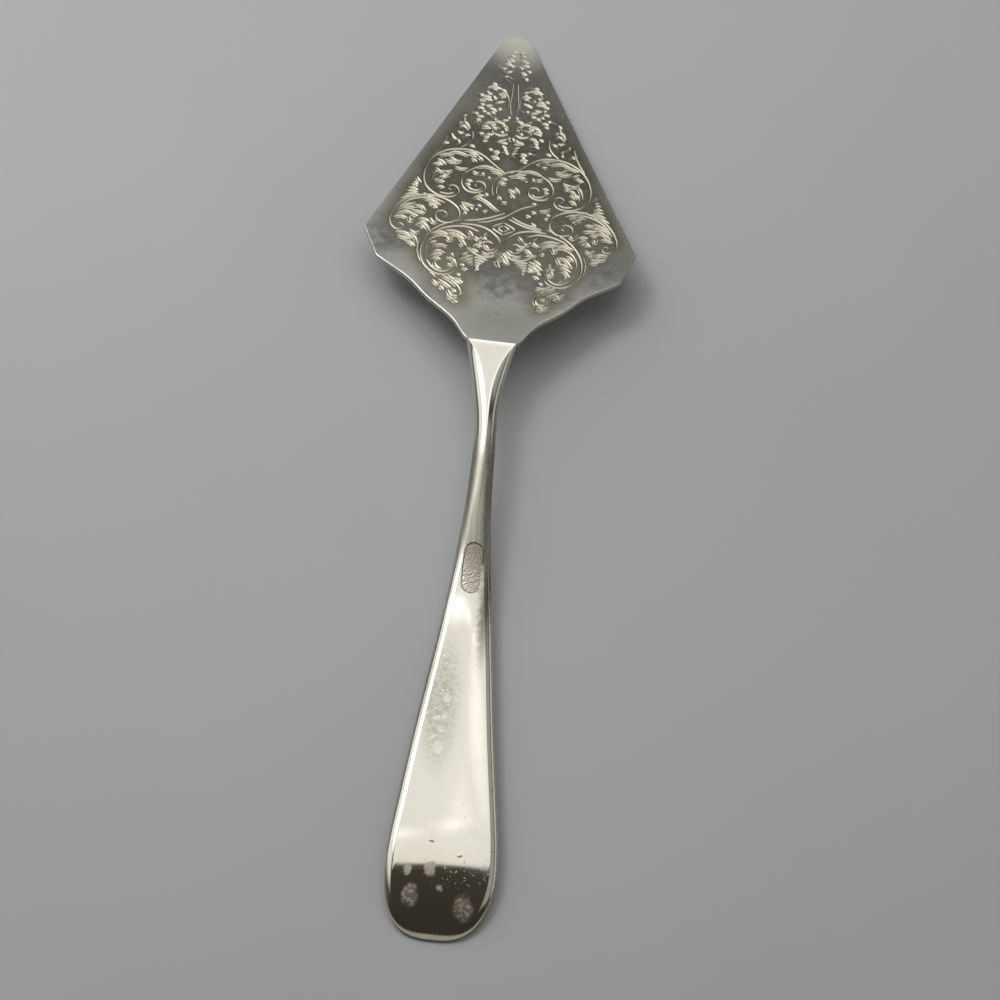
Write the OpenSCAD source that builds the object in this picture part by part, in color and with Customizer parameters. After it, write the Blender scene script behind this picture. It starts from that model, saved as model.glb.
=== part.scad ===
// Cake server: a flat sheet blade, soldered on the flattened front of a solid handle.
// It lies as on a table, on its tip and on the end of its handle: +Y to the tip, +Z up.

/* [Blade] */
// Length of the sheet, from the tip to the rear edge
blade_length = 100.5; // [85:0.5:130]
// Width across the shoulders
blade_width = 66; // [60:1:84]
// Thickness of the sheet
blade_thickness = 1.2; // [0.8:0.1:2]
// Angle at which the blade climbs from its tip to the handle
blade_slope = 7; // [4:0.5:10]
// Radius of the tip
tip_radius = 4.5; // [2:0.5:8]
// Distance of the shoulders from the rear edge
shoulder_reach = 30.5; // [27:0.5:40]
// Radius of the shoulders
shoulder_radius = 1; // [0.5:0.1:3]
// Width across the rear corners
corner_width = 58.6; // [46:0.2:64]
// Distance of the rear corners from the rear edge
corner_reach = 21.8; // [16:0.2:25]
// Radius of the rear corners
corner_radius = 2.4; // [0.5:0.1:4]
// Depth of the hollow that each scalloped edge makes from corner to neck
edge_hollow = 1.45; // [0.5:0.05:2.5]
// Depth of the two scallops in that edge
scallop_depth = 0.9; // [0:0.1:1.5]
// Width of the neck, where the blade ends
neck_width = 12.3; // [9:0.1:18]

/* [Handle outline] */
// Level length of the handle behind the blade
handle_length = 140.4; // [120:0.2:180]
// Distance of the handle's side from the blade's edge at the neck
neck_inset = 0.25; // [0:0.05:1]
// Width of the waist, the narrowest place
waist_width = 5; // [4:0.1:8]
// Distance of the waist behind the blade
waist_distance = 24; // [20:0.5:34]
// Distance of the place behind the waist where the grip starts to widen
taper_delay = 16; // [0:0.5:22]
// Length of the bend from the waist into the straight taper
taper_bend = 12; // [1:0.5:20]
// Width of the grip at its widest
grip_width = 23.7; // [18:0.1:30]
// Distance of the widest place from the end
widest_setback = 14; // [10:0.5:18]
// Length of the rounded end
round_end_length = 28; // [20:1:36]
// Length cut off the rounded end, which leaves a short straight edge to rest on
end_cut = 0.28; // [0.1:0.02:0.5]

/* [Handle profile] */
// Rise of the handle from the tongue to its crest
crest_rise = 0.5; // [0.2:0.1:4]
// Distance of the crest behind the blade
crest_distance = 18; // [12:0.5:22]
// Length over which the handle falls from the crest to the grip
fall_length = 55; // [40:1:60]
// Height of the grip's top above the table
grip_height = 5; // [4:0.1:8]
// Length of the end that turns down
turn_length = 26; // [18:1:34]
// Thickness of the tongue at the neck
neck_thickness = 2; // [1.5:0.1:3]
// Thickness at the waist
waist_thickness = 3.8; // [3:0.1:5]
// Thickness of the grip
grip_thickness = 2.3; // [1.6:0.1:3]
// Thickness at the end
end_thickness = 1.8; // [1.2:0.1:2.6]
// Length over which the flat facet behind the blade narrows to a third
facet_turn = 7; // [4:0.5:9]
// Width of the rounded rim along the grip
rim_width = 1.4; // [0.8:0.1:2.2]
// Height of the grip's crown over its rim
crown = 0.25; // [0.05:0.05:0.6]

/* [Cartouche] */
// Distance of the sunk cartouche's middle behind the blade
cartouche_distance = 55.7; // [50:0.1:70]
// Length of the cartouche
cartouche_length = 11.8; // [8:0.2:16]
// Width of the cartouche
cartouche_width = 4.7; // [3:0.1:6]
// Depth of the cartouche at its middle
cartouche_depth = 0.2; // [0.1:0.05:0.5]

/* [Joint] */
// Level length of the handle's tongue under the blade
tongue_length = 20; // [14:0.5:26]
// Thickness of the tongue at its front
tongue_front_thickness = 0.9; // [0.6:0.1:1.4]
// Radius of the tongue's upper edges
tongue_edge = 0.3; // [0.2:0.05:0.5]
// Height of the step behind the blade's rear edge, over the tongue
step_height = 1.2; // [0.4:0.1:1.2]
// Distance of that step from the blade's rear edge
step_gap = 0.1; // [0.05:0.05:0.3]
// Thickness of the solder between tongue and blade
solder_thickness = 0.1; // [0.05:0.05:0.3]
// Width of the solder that runs out round the tongue
solder_spread = 0.5; // [0.1:0.1:1]
// Distance of the solder from the blade's rear edge
solder_setback = 1; // [0.8:0.1:3]

/* [Hidden] */

// Points of an arc, of a scalloped edge, of a flank, of the tongue, the shank and the rounded end
arc_steps = 8;
edge_steps = 30;
flank_steps = 4;
flat_steps = 4;
tongue_steps = 8;
shank_steps = 36;
end_steps = 12;

// Steps of the scalloped edge that the rounded corner takes up
corner_steps = 2;
// Share of the thickness that lies under the widest line of a section
edge_share = 0.4;
// Half width of the flat that is left on the round waist
least_flat = 0.2;
// Share of the tongue's rounded length that the first section reaches
reach_share = 0.9995;
// Power of the rounded end's outline and of the tongue's front
round_power = 2.7;

// Level places of the tip's lower edge, the neck and the end, so that the middle is at zero
total_length = blade_length * cos(blade_slope) + blade_thickness * sin(blade_slope) + handle_length - end_cut;
tip_y = total_length / 2 - blade_thickness * sin(blade_slope);
neck_y = tip_y - blade_length * cos(blade_slope);
neck_z = blade_length * sin(blade_slope) - solder_thickness / cos(blade_slope);
crest_z = neck_z + crest_rise;
handle_neck = neck_width / 2 - neck_inset;
waist_half = waist_width / 2;
rim_bottom = rim_width * edge_share;

function unit(v) = v / norm(v);
function clamp(u) = min(max(u, 0), 1);
function ease(u) = (1 - cos(180 * clamp(u))) / 2;
function mix(a, b, u) = a + (b - a) * u;
function mirrored(points) = [for (i = [len(points) - 1:-1:0]) [-points[i].x, points[i].y]];
function round_off(u) = pow(1 - pow(clamp(u), round_power), 1 / round_power);

// Arc of radius r that rounds the corner b between a and c
function rounded_corner(a, b, c, r) =
    let (
        u = unit(a - b),
        v = unit(c - b),
        half = acos(u * v) / 2,
        centre = b + unit(u + v) * r / sin(half),
        from = b + u * r / tan(half) - centre,
        start = atan2(from.y, from.x),
        turn = (cross(u, v) > 0 ? -1 : 1) * (180 - 2 * half)
    )
    [for (i = [0:arc_steps]) centre + r * [cos(start + turn * i / arc_steps), sin(start + turn * i / arc_steps)]];

// Outline of the right half of the blade, with the rear edge at zero and the tip in front
shoulder = [blade_width / 2, shoulder_reach];
corner = [corner_width / 2, corner_reach];
neck = [neck_width / 2, 0];
tip_centre = [0, blade_length - tip_radius];
tip_arm = shoulder - tip_centre;
tip_turn = atan2(tip_arm.y, tip_arm.x) + acos(tip_radius / norm(tip_arm));
tip_side = tip_centre + tip_radius * [cos(tip_turn), sin(tip_turn)];
function scalloped_edge(u) =
    mix(corner, neck, u) - [edge_hollow * sin(180 * u) + scallop_depth * (1 - cos(720 * u)) / 2, 0];
blade_half = concat(
    [for (i = [0:arc_steps])
        tip_centre + tip_radius * [sin((90 - tip_turn) * i / arc_steps), cos((90 - tip_turn) * i / arc_steps)]],
    rounded_corner(tip_side, shoulder, corner, shoulder_radius),
    rounded_corner(shoulder, corner, scalloped_edge(corner_steps / edge_steps), corner_radius),
    [for (i = [corner_steps:edge_steps]) scalloped_edge(i / edge_steps)]
);

// Half width of the handle at the distance d behind the blade; the tongue lies in front of zero
function tapered(d) =
    let (x = d - waist_distance - taper_delay)
    (x + sqrt(x * x + taper_bend * taper_bend)) / 2;
function end_round(d) = round_off((d - handle_length) / round_end_length + 1);
widest = handle_length - widest_setback;
taper = (grip_width / 2 / end_round(widest) - waist_half) / (tapered(widest) - tapered(waist_distance));
function half_width(d) =
    d < 0 ? handle_neck * round_off(-d / tongue_length)
    : d < waist_distance ? mix(waist_half, handle_neck, pow(1 - d / waist_distance, 2))
    : (waist_half + taper * (tapered(d) - tapered(waist_distance))) * end_round(d);

// Height of the handle's top along its middle
function top_height(d) =
    d < step_gap ? neck_z + d * tan(blade_slope)
    : d < crest_distance ? mix(crest_z, neck_z + step_height, pow(1 - d / crest_distance, 2))
    : mix(crest_z, grip_height, ease((d - crest_distance) / fall_length))
        - (grip_height - end_thickness) * pow(clamp((d - handle_length) / turn_length + 1), 2);

function thickness(d) =
    d < step_gap ? mix(neck_thickness, tongue_front_thickness, -d / tongue_length)
    : d < waist_distance ? mix(neck_thickness + step_height, waist_thickness, ease(d / waist_distance))
    : mix(
        mix(waist_thickness, grip_thickness, ease((d - waist_distance) / fall_length)),
        end_thickness,
        ease((d - handle_length) / turn_length + 1)
    );

// Width of the round flank between the flat top and the widest line
function flank(d) =
    d < step_gap ? tongue_edge
    : d < waist_distance ? half_width(d) - (handle_neck - tongue_edge) * exp(-d / facet_turn)
    : mix(waist_half, rim_width, ease((d - waist_distance) / fall_length));
function flat_half(d) = max(half_width(d) - flank(d), least_flat);

// Drop of the top where the rim runs round the end
function end_drop(d) =
    let (u = clamp((d - handle_length) / rim_width + 1))
    thickness(d) * (1 - edge_share) * (1 - sqrt(1 - u * u));

// One section of the handle, widest line first, over the top and back underneath
function section(d) =
    let (
        half = max(half_width(d), 2 * least_flat),
        flat = min(flat_half(d), half - least_flat / 2),
        under = max(half - max(rim_bottom, (d < step_gap ? tongue_edge : flank(d) * edge_share)), least_flat),
        top = top_height(d) - end_drop(d),
        bottom = top_height(d) - thickness(d),
        edge = bottom + thickness(d) * edge_share,
        bow = crown * ease((d - waist_distance) / fall_length),
        upper = [for (i = [0:flank_steps])
            let (a = 90 * i / flank_steps)
            [flat + (half - flat) * cos(a), edge + (top - bow - edge) * sin(a)]],
        crowned = [for (i = [1:flat_steps - 1])
            let (x = 1 - 2 * i / flat_steps)
            [flat * x, top - bow * x * x]],
        lower = [for (i = [1:flank_steps])
            let (a = 90 * i / flank_steps)
            [under + (half - under) * cos(a), edge - (edge - bottom) * sin(a)]],
        right_lower = [for (i = [len(lower) - 1:-1:0]) lower[i]]
    )
    concat(upper, crowned, mirrored(upper), [for (p = lower) [-p.x, p.y]], right_lower);

places = concat(
    [for (i = [0:tongue_steps - 1]) -tongue_length * reach_share * cos(90 * i / tongue_steps)],
    [step_gap / 2],
    [for (i = [0:shank_steps]) mix(step_gap, handle_length - round_end_length, i / shank_steps)],
    [for (i = [1:end_steps])
        handle_length - round_end_length + (round_end_length - end_cut) * sin(90 * i / end_steps)]
);

module swept(sections) {
    n = len(sections[0]);
    last = len(sections) - 1;
    points = [for (s = sections) for (p = s) p];
    sides = [for (j = [0:last - 1]) for (i = [0:n - 1])
        let (k = (i + 1) % n)
        each [[j * n + i, j * n + n + k, j * n + k], [j * n + i, j * n + n + i, j * n + n + k]]];
    front = [for (i = [0:n - 1]) i];
    rear = [for (i = [n - 1:-1:0]) last * n + i];
    polyhedron(points, concat(sides, [front, rear]), convexity = 6);
}

module stadium(length, width) {
    run = length - width;
    square([width, run], center = true);
    for (side = [-1, 1])
        translate([0, side * run / 2])
            circle(d = width, $fn = 48);
}

// Puts what is drawn flat, rear edge at zero, on the slope of the blade's underside
module on_blade_slope() {
    translate([0, tip_y, 0])
        rotate([-blade_slope, 0, 0])
            translate([0, -blade_length, 0])
                children();
}

module blade() {
    color([0.62, 0.62, 0.61])
        on_blade_slope()
            linear_extrude(blade_thickness)
                polygon(concat(blade_half, mirrored(blade_half)));
}

module handle() {
    front_z = top_height(cartouche_distance - cartouche_length / 2);
    rear_z = top_height(cartouche_distance + cartouche_length / 2);
    fall_angle = atan((front_z - rear_z) / cartouche_length);
    color([0.86, 0.85, 0.82])
        difference() {
            swept([for (d = places) [for (p = section(d)) [p.x, neck_y - d, p.y]]]);
            translate([0, neck_y - cartouche_distance, top_height(cartouche_distance)])
                rotate([fall_angle, 0, 0])
                    translate([0, 0, -cartouche_depth])
                        linear_extrude(waist_thickness)
                            stadium(cartouche_length, cartouche_width);
        }
}

module solder() {
    reach = tongue_length / cos(blade_slope) + solder_spread;
    half = [for (i = [0:edge_steps])
        let (y = mix(reach, solder_setback, 1 - cos(90 * i / edge_steps)))
        [(handle_neck + solder_spread) * round_off(y / reach), y]];
    color([0.55, 0.55, 0.53])
        on_blade_slope()
            translate([0, 0, -solder_thickness])
                linear_extrude(solder_thickness)
                    polygon(concat(half, mirrored(half)));
}

blade();
handle();
solder();
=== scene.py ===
"""Cake server: an engraved sheet blade, soldered on the tongue of a solid handle, on a plain table."""

import math

import bmesh
import bpy
from mathutils import Matrix, Vector
from mathutils.geometry import delaunay_2d_cdt
from mathutils.kdtree import KDTree


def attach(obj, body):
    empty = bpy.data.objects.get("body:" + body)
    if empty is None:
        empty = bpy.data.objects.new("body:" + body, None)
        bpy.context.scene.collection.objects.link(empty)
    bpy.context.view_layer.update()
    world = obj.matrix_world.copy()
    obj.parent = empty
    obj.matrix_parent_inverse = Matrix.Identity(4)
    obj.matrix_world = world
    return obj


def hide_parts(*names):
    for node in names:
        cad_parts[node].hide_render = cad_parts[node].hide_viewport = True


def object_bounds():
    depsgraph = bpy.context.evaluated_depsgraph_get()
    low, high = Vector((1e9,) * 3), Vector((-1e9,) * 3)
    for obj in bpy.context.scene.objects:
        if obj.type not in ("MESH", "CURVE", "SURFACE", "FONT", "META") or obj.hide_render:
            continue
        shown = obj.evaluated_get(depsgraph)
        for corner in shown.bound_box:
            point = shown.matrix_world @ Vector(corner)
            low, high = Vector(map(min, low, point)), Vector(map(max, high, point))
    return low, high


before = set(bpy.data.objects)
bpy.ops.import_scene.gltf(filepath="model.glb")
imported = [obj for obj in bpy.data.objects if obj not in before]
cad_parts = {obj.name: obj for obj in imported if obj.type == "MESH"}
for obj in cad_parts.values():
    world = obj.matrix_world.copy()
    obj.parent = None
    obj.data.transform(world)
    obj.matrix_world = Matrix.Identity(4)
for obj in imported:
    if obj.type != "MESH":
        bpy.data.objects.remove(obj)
cad_low, cad_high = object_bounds()

# Sizes of the pieces are in millimetres, and a finished mesh is scaled to metres once.
# The table, the lights and the camera are in metres.
MM = 0.001

# Blade
BLADE_LENGTH = 100.5
BLADE_WIDTH = 66
BLADE_THICKNESS = 1.2
BLADE_SLOPE = math.radians(7)
TIP_RADIUS = 4.5
SHOULDER_REACH = 30.5
SHOULDER_RADIUS = 2
CORNER_WIDTH = 58.6
CORNER_REACH = 21.8
CORNER_RADIUS = 2.4
EDGE_HOLLOW = 1.45
SCALLOP_DEPTH = 0.9
NECK_WIDTH = 12.3

# Rounding of the blade's edges: width and drop of the upper one, at the sides and at the rear
SIDE_ROUND = (0.22, 0.12)
REAR_ROUND = (0.38, 0.26)
NECK_ROUND = (0.05, 0.03)
LOWER_ROUND = 0.14
LOWER_ANGLES = (0, 0.5, 1.05, math.pi / 2)
UPPER_STEPS = 8

# From where the edge counts as facing the rear, and how near the neck the neck's own rounding holds
REAR_START = 0.9
REAR_RUN = 0.5
NECK_LINE = 0.01

# Handle outline and profile, by the distance behind the blade
HANDLE_LENGTH = 140.135
NECK_INSET = 0.25
WAIST_HALF = 2.5
WAIST_DISTANCE = 24
TAPER_START = 40
TAPER_BEND = 12
GRIP_WIDTH = 23.7
WIDEST_SETBACK = 14
ROUND_END_LENGTH = 28
CREST_RISE = 0.5
CREST_DISTANCE = 18
FALL_LENGTH = 55
GRIP_HEIGHT = 5
TURN_LENGTH = 26
NECK_THICKNESS = 2
WAIST_THICKNESS = 3.8
GRIP_THICKNESS = 2.3
END_THICKNESS = 1.8
FACET_TURN = 7
RIM_WIDTH = 2.0
END_RIM_SHARE = 0.6
CROWN = 0.25
EDGE_SHARE = 0.4
LEAST_FLAT = 0.2
ROUND_POWER = 2.7

# Crease between facet and flank, which fades out at the waist, and powers of the grip's chamfered rim
FACET_CREASE = math.radians(24)
RIM_POWER = 1.6
END_RIM_POWER = 1.12
STEP_LEAN = 0.11
RIDGE_FADE = 20
OUTWARD_RUN = 12
SIDEWAYS = 0.05

# Painted highlight along the edges of the facet: width at the sides and at the neck, and where it fades
# behind the waist
BRIGHT_LINE = 0.3
BRIGHT_NECK = 0.6
BRIGHT_REACH = 2
BRIGHT_FADE = 8

# The handle is a little bent to the right between waist and grip, and its end is askew:
# how far, and the start and the length of each turn
BEND = 0.6
BEND_OUT = (8, 20)
BEND_BACK = (60, 42)
END_SKEW = 0.45
SKEW_TURN = (126, 14)

# Spacing of the handle's sections at the step, on the facet, down the shank, over the cartouche
# and on the grip, and their number in the rounds of the tongue and the end
STEP_ZONE = 1.3
STEP_SPACING = 0.15
FACET_SPACING = 0.5
SHANK_SPACING = 0.8
CARTOUCHE_SPACING = 0.14
GRIP_SPACING = 1.2
TONGUE_SECTIONS = 24
END_SECTIONS = 80

# Limits for merging, for short edges and for sharp ones in the handle's mesh
MERGE_DISTANCE = 0.0005
SHORTEST_EDGE = 0.0002
STEP_TOLERANCE = 0.002
SHARP_ANGLE = math.radians(12)

# Sunk cartouche
CARTOUCHE_DISTANCE = 55.7
CARTOUCHE_LENGTH = 11.8
CARTOUCHE_WIDTH = 4.7
CARTOUCHE_DEPTH = 0.2
CARTOUCHE_WALL = 0.3
CARTOUCHE_MARGIN = 1

# Joint
TONGUE_LENGTH = 20
TONGUE_FRONT_THICKNESS = 0.9
TONGUE_EDGE = 0.3
STEP_HEIGHT = 1.2
STEP_GAP = 0.02
SOLDER_THICKNESS = 0.1
SOLDER_SPREAD = 0.5
SOLDER_SETBACK = 1
FILLET_STEP = 0.16
FILLET_DEPTHS = (0.02, 0.06, 0.14)

HANDLE_NECK = NECK_WIDTH / 2 - NECK_INSET
TIP_Y = cad_high.y / MM - BLADE_THICKNESS * math.sin(BLADE_SLOPE)
NECK_Y = TIP_Y - BLADE_LENGTH * math.cos(BLADE_SLOPE)
NECK_Z = BLADE_LENGTH * math.sin(BLADE_SLOPE) - SOLDER_THICKNESS / math.cos(BLADE_SLOPE)
CREST_Z = NECK_Z + CREST_RISE
HANDLE_END = NECK_Y - cad_low.y / MM

# Engraving: widths of the cuts, their fullness along the stroke, lean and slope, and the spacing of points
ORNAMENT_AXIS = 0.35
STEM_WIDTH = 0.58
THIN_WIDTH = 0.5
LEAF_WIDTH = 0.74
BROAD_WIDTH = 1.0
LEAF_STRETCH = 0.25
VEIN_WIDTH = 0.38
VEIN_GAP = 0.62
VEINED_POINTS = 5
STEM_FULLNESS = 0.3
LEAF_FULLNESS = 0.6
BROAD_FULLNESS = 0.5
LEAST_HALF = 0.002
CUT_LEAN = 0.5
CUT_SLOPE = 0.25
CUT_STEP = 0.28
GROUND_STEP = 2.5
WORKED_REACH = 2.2

# Strokes of the ornament: distance from its middle line, distance from the blade's rear edge
CROSSING_STEMS = [
    [(1.0, 38.1), (3, 37.0), (5.5, 36.0), (9.2, 35.2)],
    [(1.7, 38.8), (3.6, 37.6), (6, 36.6), (9.4, 35.7)],
    [(-6.4, 35.8), (-4, 36.4), (-2, 37.4), (0, 38.4), (1.5, 39.7), (3.2, 41.2), (5, 42.4), (7, 43.2)],
    [(-9.6, 36.0), (-7, 36.5), (-5, 37.1), (-3, 38.0), (-1.2, 39.0), (0.2, 39.8)],
    [(-3.2, 45), (-3.7, 47.2), (-3.4, 49.4), (-2.1, 51.4), (-0.3, 53), (2.4, 54), (5.2, 53.9), (7.4, 53.2)],
    [(-2.4, 45.4), (-2.6, 47.4), (-2.2, 49.4), (-1, 51.2)],
    [(-0.2, 52.6), (-2.8, 53.6), (-5.6, 54.2), (-7.8, 53.6), (-9.6, 52.4)],
]
LOWER_SCROLL_STEMS = [
    [(0.4, 30.2), (1.6, 32.2), (4, 34.1), (7, 34.9), (10.5, 34.8)],
    [(10.3, 36.1), (13, 34.8), (15.8, 33), (17.8, 30.6), (19.2, 27.4), (19.4, 24), (18.4, 21), (16.6, 19),
     (14.2, 18.2), (12, 18.7), (10.7, 20)],
    [(19.9, 28.5), (20.3, 25.6), (19.6, 22.6), (17.6, 19.9), (15, 17.2)],
    [(5.8, 32.9), (8.6, 34.0), (11.6, 33.8), (14.4, 32.8), (16.2, 31.6)],
    [(11.8, 28.9), (12.7, 29.9), (14.6, 30.3), (16.6, 29.4), (17.9, 27.4), (18.3, 25)],
    [(17.8, 22.4), (16.4, 20.4), (14.6, 19.3), (12.9, 19.4), (11.4, 20.6)],
    [(0.5, 27.4), (1.6, 25.9), (3.4, 25.1), (5.4, 25.4), (7.2, 26.4), (8.1, 27.4)],
    [(1.6, 28.2), (2.8, 27.4), (4.2, 27.8), (4.5, 29.2), (3.4, 30.2), (2.2, 29.6)],
    [(8.9, 17.6), (10.8, 17.2), (11.9, 17.2)],
    [(12.2, 17.3), (10.2, 15.9), (9, 13.8), (9, 12)],
]
SIDE_SCROLL_STEMS = [
    [(14.9, 36.3), (14.0, 36.8), (14.3, 37.9), (15.6, 38.2), (16.7, 37.2), (16.3, 35.5), (14.6, 34.6),
     (12.7, 34.9), (11.3, 36.3), (11, 38.2), (12, 40.3), (14.8, 42.2), (18.3, 42.9), (21.5, 42.2),
     (24.4, 40.5), (26.5, 37.8), (27.6, 34.8), (27.4, 32.6), (26.2, 31), (24.7, 30.9), (24.2, 32.0),
     (25, 32.8), (25.7, 32.4)],
    [(26.4, 36.6), (25.0, 38.8), (22.6, 40.9), (19.8, 41.8), (17, 41.8), (14.6, 40.8)],
]
UPPER_SCROLL_STEMS = [
    [(0.3, 52.7), (2.4, 54.2), (4.4, 56), (6.4, 57.8), (8.8, 59), (11.7, 59.2), (14.9, 58.5), (17.8, 56.5),
     (19.7, 53.6), (20.6, 50.2), (20.3, 47), (19, 44.8), (17, 43.4), (14.8, 42.9), (12.9, 43.3), (11.8, 44.5),
     (11.9, 46), (12.9, 46.9), (14, 46.6), (14.1, 45.6), (13.3, 45.3)],
    [(16.4, 44.2), (14.4, 43.9), (12.7, 44.5)],
    [(7.2, 53.7), (8.9, 52.8), (10.4, 51.4), (11.3, 49.3), (11, 47.2), (9.7, 45.7),
     (7.8, 45.3), (6.1, 45.9), (5.3, 47.3), (5.9, 48.8), (7.2, 49.1), (7.9, 48.2), (7.4, 47.3)],
    [(9.9, 47.4), (8.6, 46.3), (7, 46.2), (6.1, 47)],
    [(12.4, 59.5), (10.6, 61.2), (9.6, 63.4), (9.7, 65.6)],
    [(15.9, 63.2), (16.4, 61.2), (17.4, 58.4), (19, 55.6)],
]
TIP_STEMS = [
    [(1.5, 74.6), (1.4, 77.6), (2.2, 80), (4, 81.4), (5.8, 81.4), (7, 80.2)],
    [(0.5, 72.5), (1, 76), (0.8, 79.5), (0.6, 83.5)],
    [(1.0, 66.4), (1.2, 68.2), (2.8, 69.5), (5, 69.5), (6.9, 68.3), (7.7, 66.8)],
    [(1.3, 66.0), (2.6, 65.2), (4.2, 65.5), (4.9, 66.7), (4.2, 67.8), (2.9, 67.6)],
]
DIAMOND_STEMS = [
    [(0, 36.7), (2.6, 34.7), (0, 32.7)],
    [(0, 35.7), (1.3, 34.7), (0, 33.7)],
]
LOWER_SCROLL_LEAVES = [
    [(9, 30.9), (11.2, 32.2), (13.6, 32.2)], [(9.2, 30.2), (11, 31.1), (13, 31.2)],
    [(10.2, 30.4), (9.4, 29.2), (8.6, 28.1)], [(8.2, 32.8), (7.4, 31.4), (8.8, 30.4)],
    [(13.3, 31.1), (15.2, 31.6), (17, 30.7)], [(13.5, 30.9), (15.2, 31.0), (16.6, 30.2)],
    [(12.2, 30.2), (12.6, 29.2), (13.4, 29.8)], [(17, 25), (15.4, 27.3), (13.5, 27.3)],
    [(13.5, 27.3), (14, 26.2), (14.4, 25.2)], [(16.4, 24.8), (15, 25.6), (13.7, 25.0)],
    [(16.7, 23.7), (15.3, 24.6), (14.1, 24.5)], [(16.7, 22), (15.6, 23.2), (14.5, 22.9)],
    [(15.7, 21.8), (15.3, 20.7), (14.2, 20.0)], [(13, 23.6), (12.1, 23.4), (12.8, 21.9)],
    [(12.8, 21.9), (11.6, 21.6), (11.2, 22.4)], [(12, 23.8), (11, 22.8), (10.5, 21.2)],
    [(17.4, 27), (16.6, 28), (15.8, 28.4)], [(12, 25.2), (11.6, 24.6), (12, 24.2)],
]
LOWER_TRAIL_LEAVES = [
    [(13.4, 17.9), (11.6, 16.9), (9.8, 15.4)], [(14.2, 16.6), (12.8, 15.7), (11.4, 14.7)],
    [(12.2, 18.2), (10.8, 17.2), (9.2, 16.1)], [(10.4, 18.5), (9.8, 18.9), (9.3, 18.5)],
    [(10.6, 17.6), (9.6, 17.1), (8.6, 16.5)], [(13.8, 14.7), (13.2, 14), (12.9, 13.4)],
    [(11.8, 13.6), (11, 12.3), (9.6, 12.3)], [(9.6, 12.3), (9, 12.9), (9, 13.6)],
    [(11.2, 14.1), (10.4, 13.8), (9.9, 13.3)], [(9.8, 11.8), (10.4, 10.9), (9.4, 10.4)],
    [(15.6, 16.2), (14.6, 15.3), (13.7, 15.8)], [(11.9, 11.9), (10.7, 11.3), (9.6, 11.6)],
]
LOWER_MIDDLE_LEAVES = [
    [(7.4, 27.3), (6, 28.8), (4.8, 28.1)], [(8.2, 27.3), (6.6, 27.1), (5.6, 26.5)],
    [(4.9, 28.2), (3.8, 28.6), (3.1, 27.4)], [(4.6, 26.7), (3.6, 26.2), (2.4, 26.6)],
    [(3.2, 26.6), (2, 26.7), (1.2, 27.7)], [(9.6, 24.5), (8.9, 25.3), (8, 25.9)],
    [(9.9, 23.2), (8.5, 24.4), (7, 25.2)], [(9.1, 22.5), (8, 23.6), (6.8, 24.2)],
    [(6.3, 24.7), (4.9, 24.7), (3.5, 24.3)], [(6.2, 23.9), (5.2, 23.8), (4.2, 23.5)],
    [(6.2, 23.1), (5.5, 23), (4.8, 22.7)], [(6.1, 22.3), (5.6, 22.2), (5.1, 21.9)],
    [(5.9, 21.4), (5.5, 21.2), (5.1, 20.8)], [(9.4, 20.2), (8.6, 20.8), (7.8, 20.7)],
    [(7.9, 22.1), (7.3, 22.6), (6.7, 23.2)], [(9.8, 21.6), (9.2, 22), (8.6, 21.8)],
    [(0.3, 26.8), (1.2, 25.4), (2.0, 23.8)], [(2.0, 23.8), (1.2, 24.0), (0.6, 25.2)],
    [(0.1, 25.6), (0.7, 24), (0.1, 22.5)], [(5.2, 31), (6, 30.5), (6.6, 31.3)],
    [(4.3, 29.9), (5.2, 29.4), (5.6, 29.9)], [(3.9, 32.6), (4.6, 31.6), (3.8, 30.8)],
    [(10.4, 28.2), (9.9, 28), (9.6, 28.5)],
]
SIDE_SCROLL_LEAVES = [
    [(26.2, 36.6), (24.7, 38.4), (22.2, 39.6)], [(25.4, 37), (23.8, 38.1), (21.8, 38.2)],
    [(21.9, 39), (20.2, 38.9), (19.2, 37.6)], [(25.9, 35.6), (24, 36.8), (22.4, 36.4)],
    [(22.4, 37.3), (20.8, 37.2), (19.4, 36.8)], [(23, 36), (22, 36), (21, 35.7)],
    [(26.5, 34.5), (25, 35.1), (23.6, 34.7)], [(22.9, 34.8), (22.5, 33.8), (22, 34.6)],
    [(19.9, 43.2), (18.4, 42.0), (16.8, 40.2)], [(20, 41.6), (18, 41.2), (16, 40.2)],
    [(18.3, 42.6), (17.2, 41.6), (15.6, 41.4)], [(17.6, 39.7), (17, 39.4), (16.4, 38.9)],
    [(18.6, 40.4), (17.8, 40), (17.2, 39.4)], [(20.5, 34.9), (19.4, 35), (18.2, 34.5)],
    [(20.2, 34.2), (18.8, 33.2), (17.7, 31.4)], [(20, 32.9), (19.3, 32.4), (18.9, 31.7)],
    [(17.8, 35.4), (16.9, 34.2), (16.2, 35)], [(21.3, 32.3), (20.6, 33), (20.1, 33.6)],
    [(25.5, 30), (23.6, 30), (21.9, 29)], [(25, 28.8), (23.2, 28.2), (21.7, 28.3)],
    [(23.2, 27.2), (22, 27.1), (20.9, 26.2)], [(22.3, 31), (21.1, 30.3), (20.2, 30.9)],
    [(22.1, 29.5), (20.9, 28.6), (20.3, 26.6)], [(24, 29.4), (23, 29.2), (22.2, 28.8)],
    [(25.4, 40.6), (24, 41.5), (22.6, 41.9)], [(24.4, 42.1), (22.8, 42.7), (21.4, 42.7)],
    [(24, 43.4), (22.8, 43.5), (21.7, 43.3)], [(23.8, 44.4), (22.7, 44.5), (21.6, 44)],
    [(23.2, 45.6), (22.4, 45.6), (21.8, 45)], [(22.8, 46.6), (22.2, 46.2), (21.7, 45.6)],
    [(22.1, 48.2), (21.7, 47.4), (21, 46.6)],
]
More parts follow.
